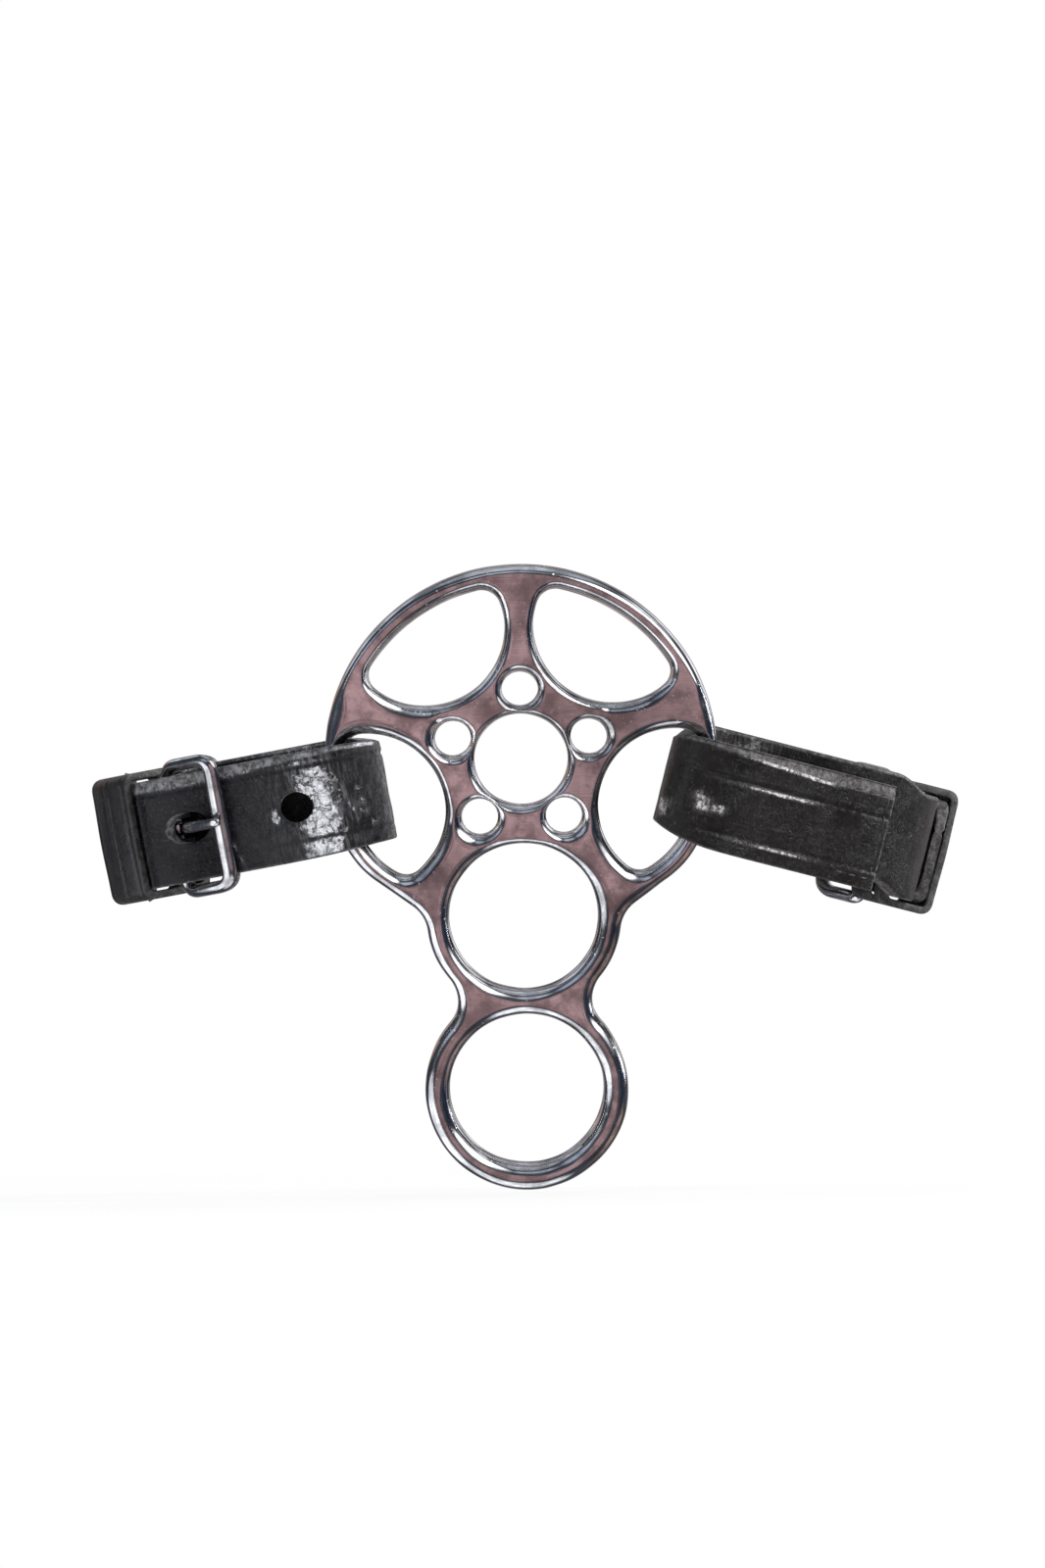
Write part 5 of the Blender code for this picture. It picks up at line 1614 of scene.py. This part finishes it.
@dataclass
class BuckleSet:
    """Buckle frame, tongue, chape and both keepers of one buckled strap end."""

    prefix: str
    run: StrapRun
    body: str
    stack_low: float
    steel: bpy.types.Material
    chape_leather: bpy.types.Material
    keeper_leather: bpy.types.Material
    tongue_width: float = 2.8 * MM
    tongue_thickness: float = 1.8 * MM
    eye_half_thickness: float = 0.54 * MM

    def dress_part(self, piece: bpy.types.Object, finish: bpy.types.Material, part: str,
                   body: str) -> None:
        """Dress a piece that stands for one part of the set.

        Args:
            piece: Piece to dress.
            finish: Its material.
            part: Name of the part.
            body: Body that it rides on.
        """
        node = f"{self.prefix}_{part}"
        dress(piece, finish, body, [node])

    def frame(self) -> None:
        """Build the frame: a round rod bent to a rounded rectangle, high at its front bar."""
        half = STRAP_HALF_WIDTH + 0.8 * MM + ROD_RADIUS
        corners = [(FRONT_BAR, -half), (FRONT_BAR, half), (HEEL_BAR, half), (HEEL_BAR, -half)]
        plan = rounded_path(corners, 3.4 * MM, 8)
        share = (plan[:, 0] - HEEL_BAR) / (FRONT_BAR - HEEL_BAR)
        out = HEEL_BAR_OUT + (FRONT_BAR_OUT - HEEL_BAR_OUT) * share
        path = np.stack([plan[:, 0], out, plan[:, 1]], axis=-1)
        forward = headings(path, True)
        upwards = unit(OUT - forward * forward[:, 1:2])
        size = ROD_RADIUS * (1.0 + 0.05 * bump(plan[:, 1], 8.0 * MM) * (share > 0.9))
        piece = make_piece(self.prefix + "_frame_rod", *tube(
            self.run, path, np.cross(forward, upwards), upwards, size, size, 20, True))
        self.dress_part(piece, self.steel, "buckle_frame", self.body)

    def tongue_line(self) -> tuple[Array, Array, float]:
        """Middle of the heel bar, the tongue's direction and its length, along and out from the strap."""
        heel = np.array([HEEL_BAR, HEEL_BAR_OUT])
        way = np.array([FRONT_BAR, FRONT_BAR_OUT]) - heel
        gap = float(np.linalg.norm(way))
        lift = math.asin((ROD_RADIUS + SEAT + self.tongue_thickness / 2.0) / gap)
        heading = math.atan2(way[1], way[0]) - lift
        length = gap * math.cos(lift) + ROD_RADIUS + 1.6 * MM
        return heel, np.array([math.cos(heading), math.sin(heading)]), length

    def tongue(self) -> None:
        """Build the tongue: an eye round the heel bar and a shank with a rounded tip, smoothed by wear."""
        heel, forward, length = self.tongue_line()
        eye, half = ROD_RADIUS + SEAT + self.eye_half_thickness, self.tongue_width / 2.0
        angle = np.linspace(0.0, 2.0 * math.pi, 33)[:-1]
        outwards = np.stack([np.cos(angle), np.sin(angle), 0.0 * angle], axis=-1)
        eye_shell = tube(self.run, np.append(heel, 0.0) + eye * outwards, ACROSS, outwards, half,
                         self.eye_half_thickness, 14, True, 0.7)
        rounding = half * np.sin(np.linspace(0.0, math.pi / 2.0, 9)[1:])
        reach = np.concatenate([np.linspace(eye, length - half, 26), length - half + rounding])
        path = np.column_stack([heel + forward * reach[:, None], 0.0 * reach])
        tip_share = np.sqrt(1.0 - np.clip((reach - length + half) / half, 0.0, 0.985) ** 2)
        wide = half * (1.0 - 0.22 * eased((reach - eye) / (length - eye))) * tip_share
        thick = self.tongue_thickness / 2.0 * (0.62 + 0.38 * eased((reach - eye) / (2.0 * MM))) * tip_share
        upwards = np.array([-forward[1], forward[0], 0.0])
        shank = tube(self.run, path, ACROSS, upwards, wide, thick, 18, square=0.8)
        piece = make_piece(self.prefix + "_tongue_prong", *join_shells([eye_shell, shank]))
        self.dress_part(piece, self.steel, "buckle_tongue", self.prefix + "_tongue")

    def chape(self) -> None:
        """Build the chape: a thin strip folded round the heel bar, slotted for the tongue."""
        half = CHAPE_THICKNESS / 2.0
        bottom, top = STRAP_HALF_THICKNESS + SEAT + half, CHAPE_TOP - half
        radius = ROD_RADIUS + SEAT + half
        end, knee = HEEL_BAR + CHAPE_TAIL, HEEL_BAR + 0.42 * CHAPE_TAIL
        lower = np.stack([np.linspace(end, HEEL_BAR, 16)[:-1], np.full(15, bottom)], axis=-1)
        angle = np.linspace(-math.pi / 2.0, -1.62 * math.pi, 28)
        rounding = (HEEL_BAR, HEEL_BAR_OUT) + radius * np.stack([np.cos(angle), np.sin(angle)], axis=-1)
        share = np.linspace(0.0, 1.0, 9)[1:]
        slope = rounding[-1] + ((knee, top) - rounding[-1]) * np.stack([share, share ** 0.85], axis=-1)
        upper = np.stack([np.linspace(knee, end, 13)[1:], np.full(12, top)], axis=-1)
        plan = np.concatenate([lower, rounding, slope, upper])
        piece = make_piece(self.prefix + "_chape_strip", *band(
            self.run, np.column_stack([plan, np.zeros(len(plan))]), ACROSS, STRAP_HALF_WIDTH - 0.8 * MM,
            half - 0.04 * MM, False, 0.1 * MM, 30))
        first, last, side = HEEL_BAR - CHAPE_ROUND - 1.0 * MM, HEEL_BAR + 5.0 * MM, 2.3 * MM
        slot = rounded_path([(first, -side), (last, -side), (last, side), (first, side)], 1.6 * MM, 5)
        low = HEEL_BAR_OUT - ROD_RADIUS - 2.0 * SEAT - self.tongue_thickness
        depth = np.array([low, HEEL_BAR_OUT + CHAPE_ROUND + 1.0 * MM])[:, None]
        cut_hole(piece, self.run.place(slot[:, 0], depth, slot[:, 1]))
        sharpen(piece)
        self.dress_part(piece, self.chape_leather, "chape", self.body)

    def keeper(self, kind: KeeperKind, place: float, high: float, body: str) -> None:
        """Build one keeper: a creased leather loop round the strap's layers.

        Args:
            kind: Whether it is sewn on or slides.
            place: Its place along the strap.
            high: Height of the layers' upper face.
            body: Body that it rides on.
        """
        middle = KEEPER_PLAY + KEEPER_THICKNESS / 2.0
        wide = STRAP_HALF_WIDTH + middle
        low, top = self.stack_low - middle, high + middle
        plan = rounded_path([(wide, top), (-wide, top), (-wide, low), (wide, low)], 1.9 * MM, 7)
        swell = 0.25 * MM * bump(plan[:, 0], 7.0 * MM) * np.sign(plan[:, 1] - (low + top) / 2.0)
        path = np.stack([np.full(len(plan), place), plan[:, 1] + swell, plan[:, 0]], axis=-1)
        name = kind.value + "_keeper"
        piece = make_piece(f"{self.prefix}_{name}_loop", *band(
            self.run, path, np.array([1.0, 0.0, 0.0]), KEEPER_WIDTH / 2.0, KEEPER_THICKNESS / 2.0, True,
            0.16 * MM, 20))
        self.dress_part(piece, self.keeper_leather, name, body)

    def build(self) -> None:
        """Build every piece of the set."""
        self.frame()
        self.tongue()
        self.chape()
        over_tail, together = OVER_TAIL + STRAP_HALF_THICKNESS, TOGETHER + STRAP_HALF_THICKNESS
        self.keeper(KeeperKind.FIXED, FIXED_KEEPER, over_tail, self.body)
        self.keeper(KeeperKind.SLIDING, SLIDING_KEEPER, together, self.prefix + "_slider")


@dataclass
class NoseLining:
    """Soft lining of the noseband: a crowned leather pad with a sewn edge."""

    near: StrapRun
    far: StrapRun
    finish: bpy.types.Material
    start: float = 42.5 * MM
    thickness: float = 3.0 * MM
    crown: float = 4.5 * MM
    extra_width: float = 6.0 * MM
    blend_length: float = 9.0 * MM

    def rings(self, run: StrapRun) -> tuple[Array, Array]:
        """Rings of one half, from its end to the middle.

        Formula: flat on the strap, and towards the nose a crown that rises with the square
        root of the distance from the seam, with a sewn groove inside the seam and shallow
        creases across.

        Args:
            run: Run of the noseband.

        Returns:
            Points, and surface places in centimetres.
        """
        along = np.linspace(self.start, run.half_length, 110)
        share = eased((along - SLIDING_KEEPER - KEEPER_WIDTH) / self.blend_length)
        half = STRAP_HALF_WIDTH - 0.4 * MM + self.extra_width / 2.0 * share
        ends = np.clip((along - self.start) / (2.5 * MM), 0.0, 1.0)
        depth = self.thickness + (self.crown - self.thickness) * share
        depth = depth * np.sqrt(np.clip(1.0 - (1.0 - ends) ** 2, 0.04, 1.0))
        top = np.linspace(-1.0, 1.0, 61)
        profile = (1.0 - np.abs(top) ** 3.2) ** 0.5
        seam = 1.0 - 0.30 * bump((1.0 - np.abs(top)) - 0.17, 0.035)
        creases = 1.0 - 0.05 * np.abs(value_noise(along[:, None] / (2.6 * MM), top * 1.6 + 7.0, 31))
        face = depth[:, None] * (0.16 + 0.84 * profile * seam) * creases
        back = np.linspace(1.0, -1.0, 24)[1:-1]
        across = np.concatenate([top, back]) * half[:, None]
        face = np.concatenate([face, np.zeros((len(along), len(back)))], axis=1)
        out = -STRAP_HALF_THICKNESS - SEAT - face
        return run.place(along[:, None], out, across), surface_places(along[:, None], across)

    def build(self) -> None:
        """Build and dress the lining."""
        points, flow = join_halves(self.rings(self.near), self.rings(self.far))
        piece = make_piece("nose_lining_pad", with_middles(points), loft_faces(*points.shape[:2]),
                           with_middles(flow, flow[[0, -1], [0, -1]]))
        dress(piece, self.finish, "noseband", ["nose_pad"])


Seam = tuple[Array, Array]


@dataclass
class Stitching:
    """Rows of waxed thread stitches, all in one piece."""

    name: str
    finish: bpy.types.Material
    body: str
    slot: str
    length: float = 2.5 * MM
    gap: float = 0.75 * MM
    radius: float = 0.27 * MM
    rings: int = 7
    sides: int = 8

    def row(self, path: Array, face: Array) -> tuple[Array, Faces]:
        """Capsules laid end to end along a path.

        Formula: each stitch is a bead whose radius follows the root of one minus the fourth
        power of its place, lengthened along the path and sunk by a third of its radius or
        more.

        Args:
            path: World points of the seam, closely spaced.
            face: Unit vectors out of the leather at those points.

        Returns:
            Points and groups of faces.
        """
        travel = path_lengths(path)
        count = int(travel[-1] / (self.length + self.gap))
        starts = (np.arange(count) + 0.5) * travel[-1] / count - self.length / 2.0
        shares = np.linspace(-0.995, 0.995, self.rings)
        spots = starts[:, None] + self.length * (shares + 1.0) / 2.0
        centre, out = [np.stack([np.interp(spots, travel, values[:, axis]) for axis in range(3)], axis=-1)
                       for values in (path, face)]
        way = np.broadcast_to(unit(centre[:, -1:] - centre[:, :1]), centre.shape)
        side = unit(np.cross(way, out))
        size = self.radius * (1.0 - np.abs(shares) ** 4) ** 0.5
        sink = self.radius * 0.35 * (1.0 + 2.0 * np.abs(shares) ** 3)
        angle = 2.0 * math.pi * np.arange(self.sides) / self.sides
        rings = ((centre - out * sink[:, None])[:, :, None]
                 + side[:, :, None] * np.multiply.outer(size, np.cos(angle))[..., None]
                 + out[:, :, None] * np.multiply.outer(size, np.sin(angle))[..., None])
        points = np.concatenate([rings.reshape(count, -1, 3), rings[:, [0, -1]].mean(2)], axis=1)
        shift = (np.arange(count) * points.shape[1])[:, None, None]
        return points.reshape(-1, 3), [(group + shift).reshape(-1, group.shape[1])
                                       for group in loft_faces(self.rings, self.sides)]

    def build(self, rows: Sequence[Seam]) -> None:
        """Build every row as one dressed piece.

        Args:
            rows: Path and outward directions of each row.
        """
        piece = make_piece(self.name, *join_shells([self.row(path, face) for path, face in rows]))
        dress(piece, self.finish, self.body, [])


def seam(run: StrapRun, start: tuple[float, float], end: tuple[float, float], count: int,
         lapped: bool) -> Seam:
    """Path of a straight seam on a strap and the directions out of the leather.

    Args:
        run: Run of the strap.
        start: Place along and across where it starts.
        end: Place along and across where it ends.
        count: Number of points.
        lapped: Whether it lies on the stitched lap, or else on the base layer.

    Returns:
        World points and unit vectors.
    """
    along, across = np.linspace(start, end, count).T
    out = STRAP_HALF_THICKNESS + 0.0 * along
    if lapped:
        out = lap_out(run, along) + STRAP_HALF_THICKNESS * (1.0 - 0.5 * lap_thinning(along))
    path = run.place(along, out, across)
    return path, unit(run.place(along, out + 0.1 * MM, across) - path)


def noseband_seams(runs: Sequence[StrapRun]) -> list[Seam]:
    """Seams of the lining, along both edges of the noseband."""
    inner = STRAP_HALF_WIDTH - 3.0 * MM
    return [seam(run, (SLIDING_KEEPER + 12.0 * MM, side), (run.half_length, side), 80, False)
            for run in runs for side in (-inner, inner)]


def lap_seams(run: StrapRun) -> list[Seam]:
    """Seams of the stitched lap: two rows along it and one across its end."""
    start, end = LAP_START + 2.0 * MM, LAP_END - 2.0 * MM
    edge = STRAP_HALF_WIDTH - 2.4 * MM
    rows = (((start, -edge), (end, -edge)), ((start, edge), (end, edge)), ((end, -edge), (end, edge)))
    return [seam(run, first, last, 60, True) for first, last in rows]


# Studio

@dataclass(frozen=True)
class Lobe:
    """Patch of the reflected room, placed from the way in which the flat steel mirrors the camera."""

    turn: float
    away: float
    inner: float
    outer: float
    colour: Colour

    def towards(self, lean: float) -> Vector:
        """Direction of the patch.

        Args:
            lean: Lean of the mirroring face.

        Returns:
            Unit vector from the part.
        """
        turn, away = math.radians(self.turn), math.radians(self.away)
        front = Vector((0.0, -math.cos(2.0 * lean), -math.sin(2.0 * lean)))
        above = Vector((0.0, -math.sin(2.0 * lean), math.cos(2.0 * lean)))
        beside = Vector((math.cos(turn), 0.0, 0.0)) + above * math.sin(turn)
        return front * math.cos(away) + beside * math.sin(away)


@dataclass
class Studio:
    """White studio: camera, floor, lamps, and the room that polished steel reflects."""

    scale: float = 4.68
    distance: float = 8.0
    wheel_pixel: tuple[float, float] = (531.5, 774.0)
    roll: float = math.radians(1.0)
    lean: float = CHEEK_LEAN
    sensor: float = 36.0
    room: tuple[Lobe, ...] = (
        Lobe(270.0, 160.0, 10.0, 62.0, (0.3, 0.265, 0.268)),
        Lobe(90.0, 112.0, 14.0, 40.0, (0.42, 0.45, 0.5)),
        Lobe(0.0, 0.0, 14.0, 34.0, (0.32, 0.238, 0.24)),
        Lobe(352.0, 64.0, 14.0, 28.0, (0.016, 0.022, 0.04)),
        Lobe(212.0, 62.0, 19.0, 32.0, (1.08, 1.1, 1.15)),
        Lobe(46.0, 60.0, 17.0, 29.0, (1.5, 1.5, 1.53)),
        Lobe(42.0, 104.0, 5.0, 13.0, (0.9, 0.92, 0.95)),
        Lobe(264.0, 60.0, 14.0, 27.0, (0.92, 0.94, 0.98)),
        Lobe(96.0, 56.0, 6.0, 17.0, (0.34, 0.37, 0.44)),
        Lobe(138.0, 58.0, 8.0, 22.0, (0.27, 0.31, 0.4)),
        Lobe(0.0, 92.0, 3.0, 9.0, (0.34, 0.37, 0.45)),
        Lobe(320.0, 70.0, 8.0, 24.0, (0.24, 0.165, 0.145)),
        Lobe(178.0, 134.0, 5.0, 16.0, (0.32, 0.19, 0.11)),
        Lobe(6.0, 138.0, 8.0, 26.0, (0.8, 0.82, 0.86)),
        Lobe(150.0, 128.0, 8.0, 24.0, (0.5, 0.54, 0.6)),
    )
    room_colour: Colour = (0.04, 0.045, 0.058)
    room_radius: float = 0.6
    floor_gap: float = 1.5 * MM
    floor_reach: float = 30.0

    def camera(self) -> None:
        """Place the camera at the photograph's angle, far enough to look straight on."""
        data = bpy.data.cameras.new("photo_camera")
        camera = bpy.data.objects.new("photo_camera", data)
        bpy.context.collection.objects.link(camera)
        height = IMAGE_HEIGHT / self.scale * MM
        data.sensor_fit = "VERTICAL"
        data.sensor_height = self.sensor
        data.lens = self.sensor * self.distance / height
        data.clip_end = 100.0
        offset = complex(IMAGE_WIDTH / 2.0 - self.wheel_pixel[0], self.wheel_pixel[1] - IMAGE_HEIGHT / 2.0)
        aim = offset / self.scale * MM * complex(math.cos(self.roll), -math.sin(self.roll))
        camera.location = (aim.real, -self.distance, aim.imag)
        camera.rotation_euler = (math.pi / 2.0, self.roll, 0.0)
        bpy.context.scene.camera = camera

    def world(self) -> None:
        """Light the scene evenly and show white to the camera, to metal and through glass."""
        world = bpy.data.worlds.new("studio_white")
        bpy.context.scene.world = world
        tools = cleared_nodes(world)
        through = tools.add("LightPath").outputs["Is Transmission Ray"]
        light = tools.add("Background", None, {"Color": (0.95, 0.97, 1.0), "Strength": 0.55}).outputs[0]
        white = tools.add("Background", None, {"Color": WHITE, "Strength": 1.0}).outputs[0]
        seen = tools.most(tools.seen_by_eye(), through)
        mixed = tools.add("MixShader", None, {0: seen, 1: light, 2: white}).outputs[0]
        tools.add("OutputWorld", None, {"Surface": mixed})

    def floor(self) -> None:
        """Lay a wide pale floor under the part."""
        low = CAD_BOX[0][2] - self.floor_gap
        share = np.linspace(-1.0, 1.0, 5) * self.floor_reach
        x, y = np.meshgrid(share, share, indexing="ij")
        points = np.stack([x.ravel(), y.ravel(), np.full(x.size, low)], axis=-1)
        first = (np.arange(4)[:, None] * 5 + np.arange(4)).ravel()
        piece = make_piece("floor", points, [np.stack([first, first + 5, first + 6, first + 1], axis=-1)])
        material, tools, shader, place = start_material("pale_floor")
        tools.fill(shader, {"Base Color": (0.9, 0.9, 0.9), "Roughness": 0.9})
        glow = tools.add("Emission", None, {"Color": WHITE, "Strength": 1.0}).outputs[0]
        away = tools.add("VectorMath", {"operation": "LENGTH"}, {0: place}).outputs["Value"]
        share_seen = tools.times(tools.seen_by_eye(), tools.spread(away, 0.25, 1.6, 0.84, 1.0))
        mixed = tools.add("MixShader", None, {0: share_seen, 1: shader.outputs[0], 2: glow}).outputs[0]
        tools.fill(material.node_tree.nodes["Material Output"], {"Surface": mixed})
        piece.data.materials.append(material)
        piece.visible_glossy = False
        piece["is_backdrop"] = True

    def reflected_room(self) -> None:
        """Put a shell round the part that only reflections see, coloured by direction."""
        tilt = np.linspace(0.02, math.pi - 0.02, 24)[:, None]
        turn = 2.0 * math.pi * np.arange(48) / 48
        radius = self.room_radius
        rings = radius * np.stack(np.broadcast_arrays(
            np.sin(tilt) * np.cos(turn), np.sin(tilt) * np.sin(turn), np.cos(tilt)), axis=-1)
        piece = make_piece("reflected_room", with_middles(rings, radius * np.array([ACROSS, -ACROSS])),
                           loft_faces(*rings.shape[:2]))
        material = bpy.data.materials.new("reflected_room")
        tools = cleared_nodes(material)
        place = tools.add("TexCoord").outputs["Object"]
        towards = tools.add("VectorMath", {"operation": "NORMALIZE"}, {0: place}).outputs[0]
        colour: object = self.room_colour
        for lobe in self.room:
            inputs = {0: towards, 1: tuple(lobe.towards(self.lean))}
            dot = tools.add("VectorMath", {"operation": "DOT_PRODUCT"}, inputs).outputs["Value"]
            outer, inner = [math.cos(math.radians(angle)) for angle in (lobe.outer, lobe.inner)]
            colour = tools.mix(tools.spread(dot, outer, inner, 0.0, 1.0), colour, lobe.colour)
        patches = tools.spread(tools.noise(towards, 8.0, 3.0, 0.6), 0.34, 0.66, 0.6, 1.5)
        glow = tools.add("Emission", None, {"Color": colour, "Strength": patches}).outputs[0]
        tools.add("OutputMaterial", None, {"Surface": glow})
        piece.data.materials.append(material)
        for rays in ("camera", "diffuse", "shadow", "transmission"):
            setattr(piece, "visible_" + rays, False)
        piece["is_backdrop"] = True

    def lamp(self, name: str, place: tuple[float, float, float], size: float, power: float) -> None:
        """Hang a soft lamp that looks at the part.

        Args:
            name: Name of the lamp.
            place: Where it hangs.
            size: Width of its face.
            power: Its power in watts.
        """
        data = bpy.data.lights.new(name, "AREA")
        data.shape = "SQUARE"
        data.size = size
        data.energy = power
        lamp = bpy.data.objects.new(name, data)
        lamp.location = place
        lamp.rotation_euler = (-Vector(place)).to_track_quat("-Z", "Y").to_euler()
        bpy.context.collection.objects.link(lamp)

    def build(self) -> None:
        """Build the whole studio."""
        self.camera()
        self.world()
        self.floor()
        self.reflected_room()
        self.lamp("key_lamp", (1.6, -2.2, 2.4), 0.9, 55.0)
        self.lamp("left_lamp", (-2.4, -1.4, 0.5), 0.8, 10.0)
        self.lamp("rim_lamp", (2.6, 0.3, 0.25), 0.7, 60.0)
        self.lamp("back_lamp", (0.4, 2.2, 1.8), 1.2, 22.0)
        bpy.context.scene.view_settings.view_transform = "Standard"


def main() -> None:
    """Build the studio, then every sub-assembly in order."""
    logging.basicConfig(level=logging.INFO, format="%(name)s: %(message)s")
    Studio().build()
    finishes = (CHEEK_STEEL, BUCKLE_STEEL, NOSE_LEATHER, CURB_LEATHER, LINING_LEATHER, CHAPE_LEATHER,
                KEEPER_LEATHER, THREAD)
    steel, buckle_steel, nose_leather, curb_leather, lining, chape_leather, keeper_leather, thread = [
        finish.material() for finish in finishes]
    for side in Side:
        CheekPlate(side, steel).build()
    near_nose, far_nose = nose_run(Side.NEAR), nose_run(Side.FAR)
    near_curb, far_curb = curb_run(Side.NEAR), curb_run(Side.FAR)
    # The far halves keep one painted highlight spot each, beside the painted corner highlight and fold sheen.
    plain_nose = replace(NOSE_RELIEF, spots=NOSE_RELIEF.spots[3:4], askew=0.0)
    plain_curb = replace(CURB_RELIEF, spots=CURB_RELIEF.spots[-1:], askew=0.0, dimple_depth=0.0)
    Strap("noseband_band", StrapHalf(near_nose, StrapEndKind.PUNCHED, NOSE_RELIEF),
          StrapHalf(far_nose, StrapEndKind.PUNCHED, plain_nose), nose_leather, "noseband",
          "noseband_strap_leather", "noseband_strap").build()
    Strap("curb_band", StrapHalf(near_curb, StrapEndKind.STITCHED, CURB_RELIEF),
          StrapHalf(far_curb, StrapEndKind.PUNCHED, plain_curb), curb_leather, "curb",
          "curb_strap_leather", "curb_strap").build()
    low = -STRAP_HALF_THICKNESS
    pad_low = low - SEAT - NoseLining.thickness
    for prefix, run, body, stack_low in (("near_nose", near_nose, "noseband", pad_low),
                                         ("far_nose", far_nose, "noseband", pad_low),
                                         ("far_curb", far_curb, "curb", low)):
        BuckleSet(prefix, run, body, stack_low, buckle_steel, chape_leather, keeper_leather).build()
    NoseLining(near_nose, far_nose, lining).build()
    Stitching("noseband_stitches", thread, "noseband", "noseband_strap_leather").build(
        noseband_seams([near_nose, far_nose]))
    Stitching("curb_lap_stitches", thread, "curb", "curb_strap_leather").build(lap_seams(near_curb))


if __name__ == "__main__":
    main()
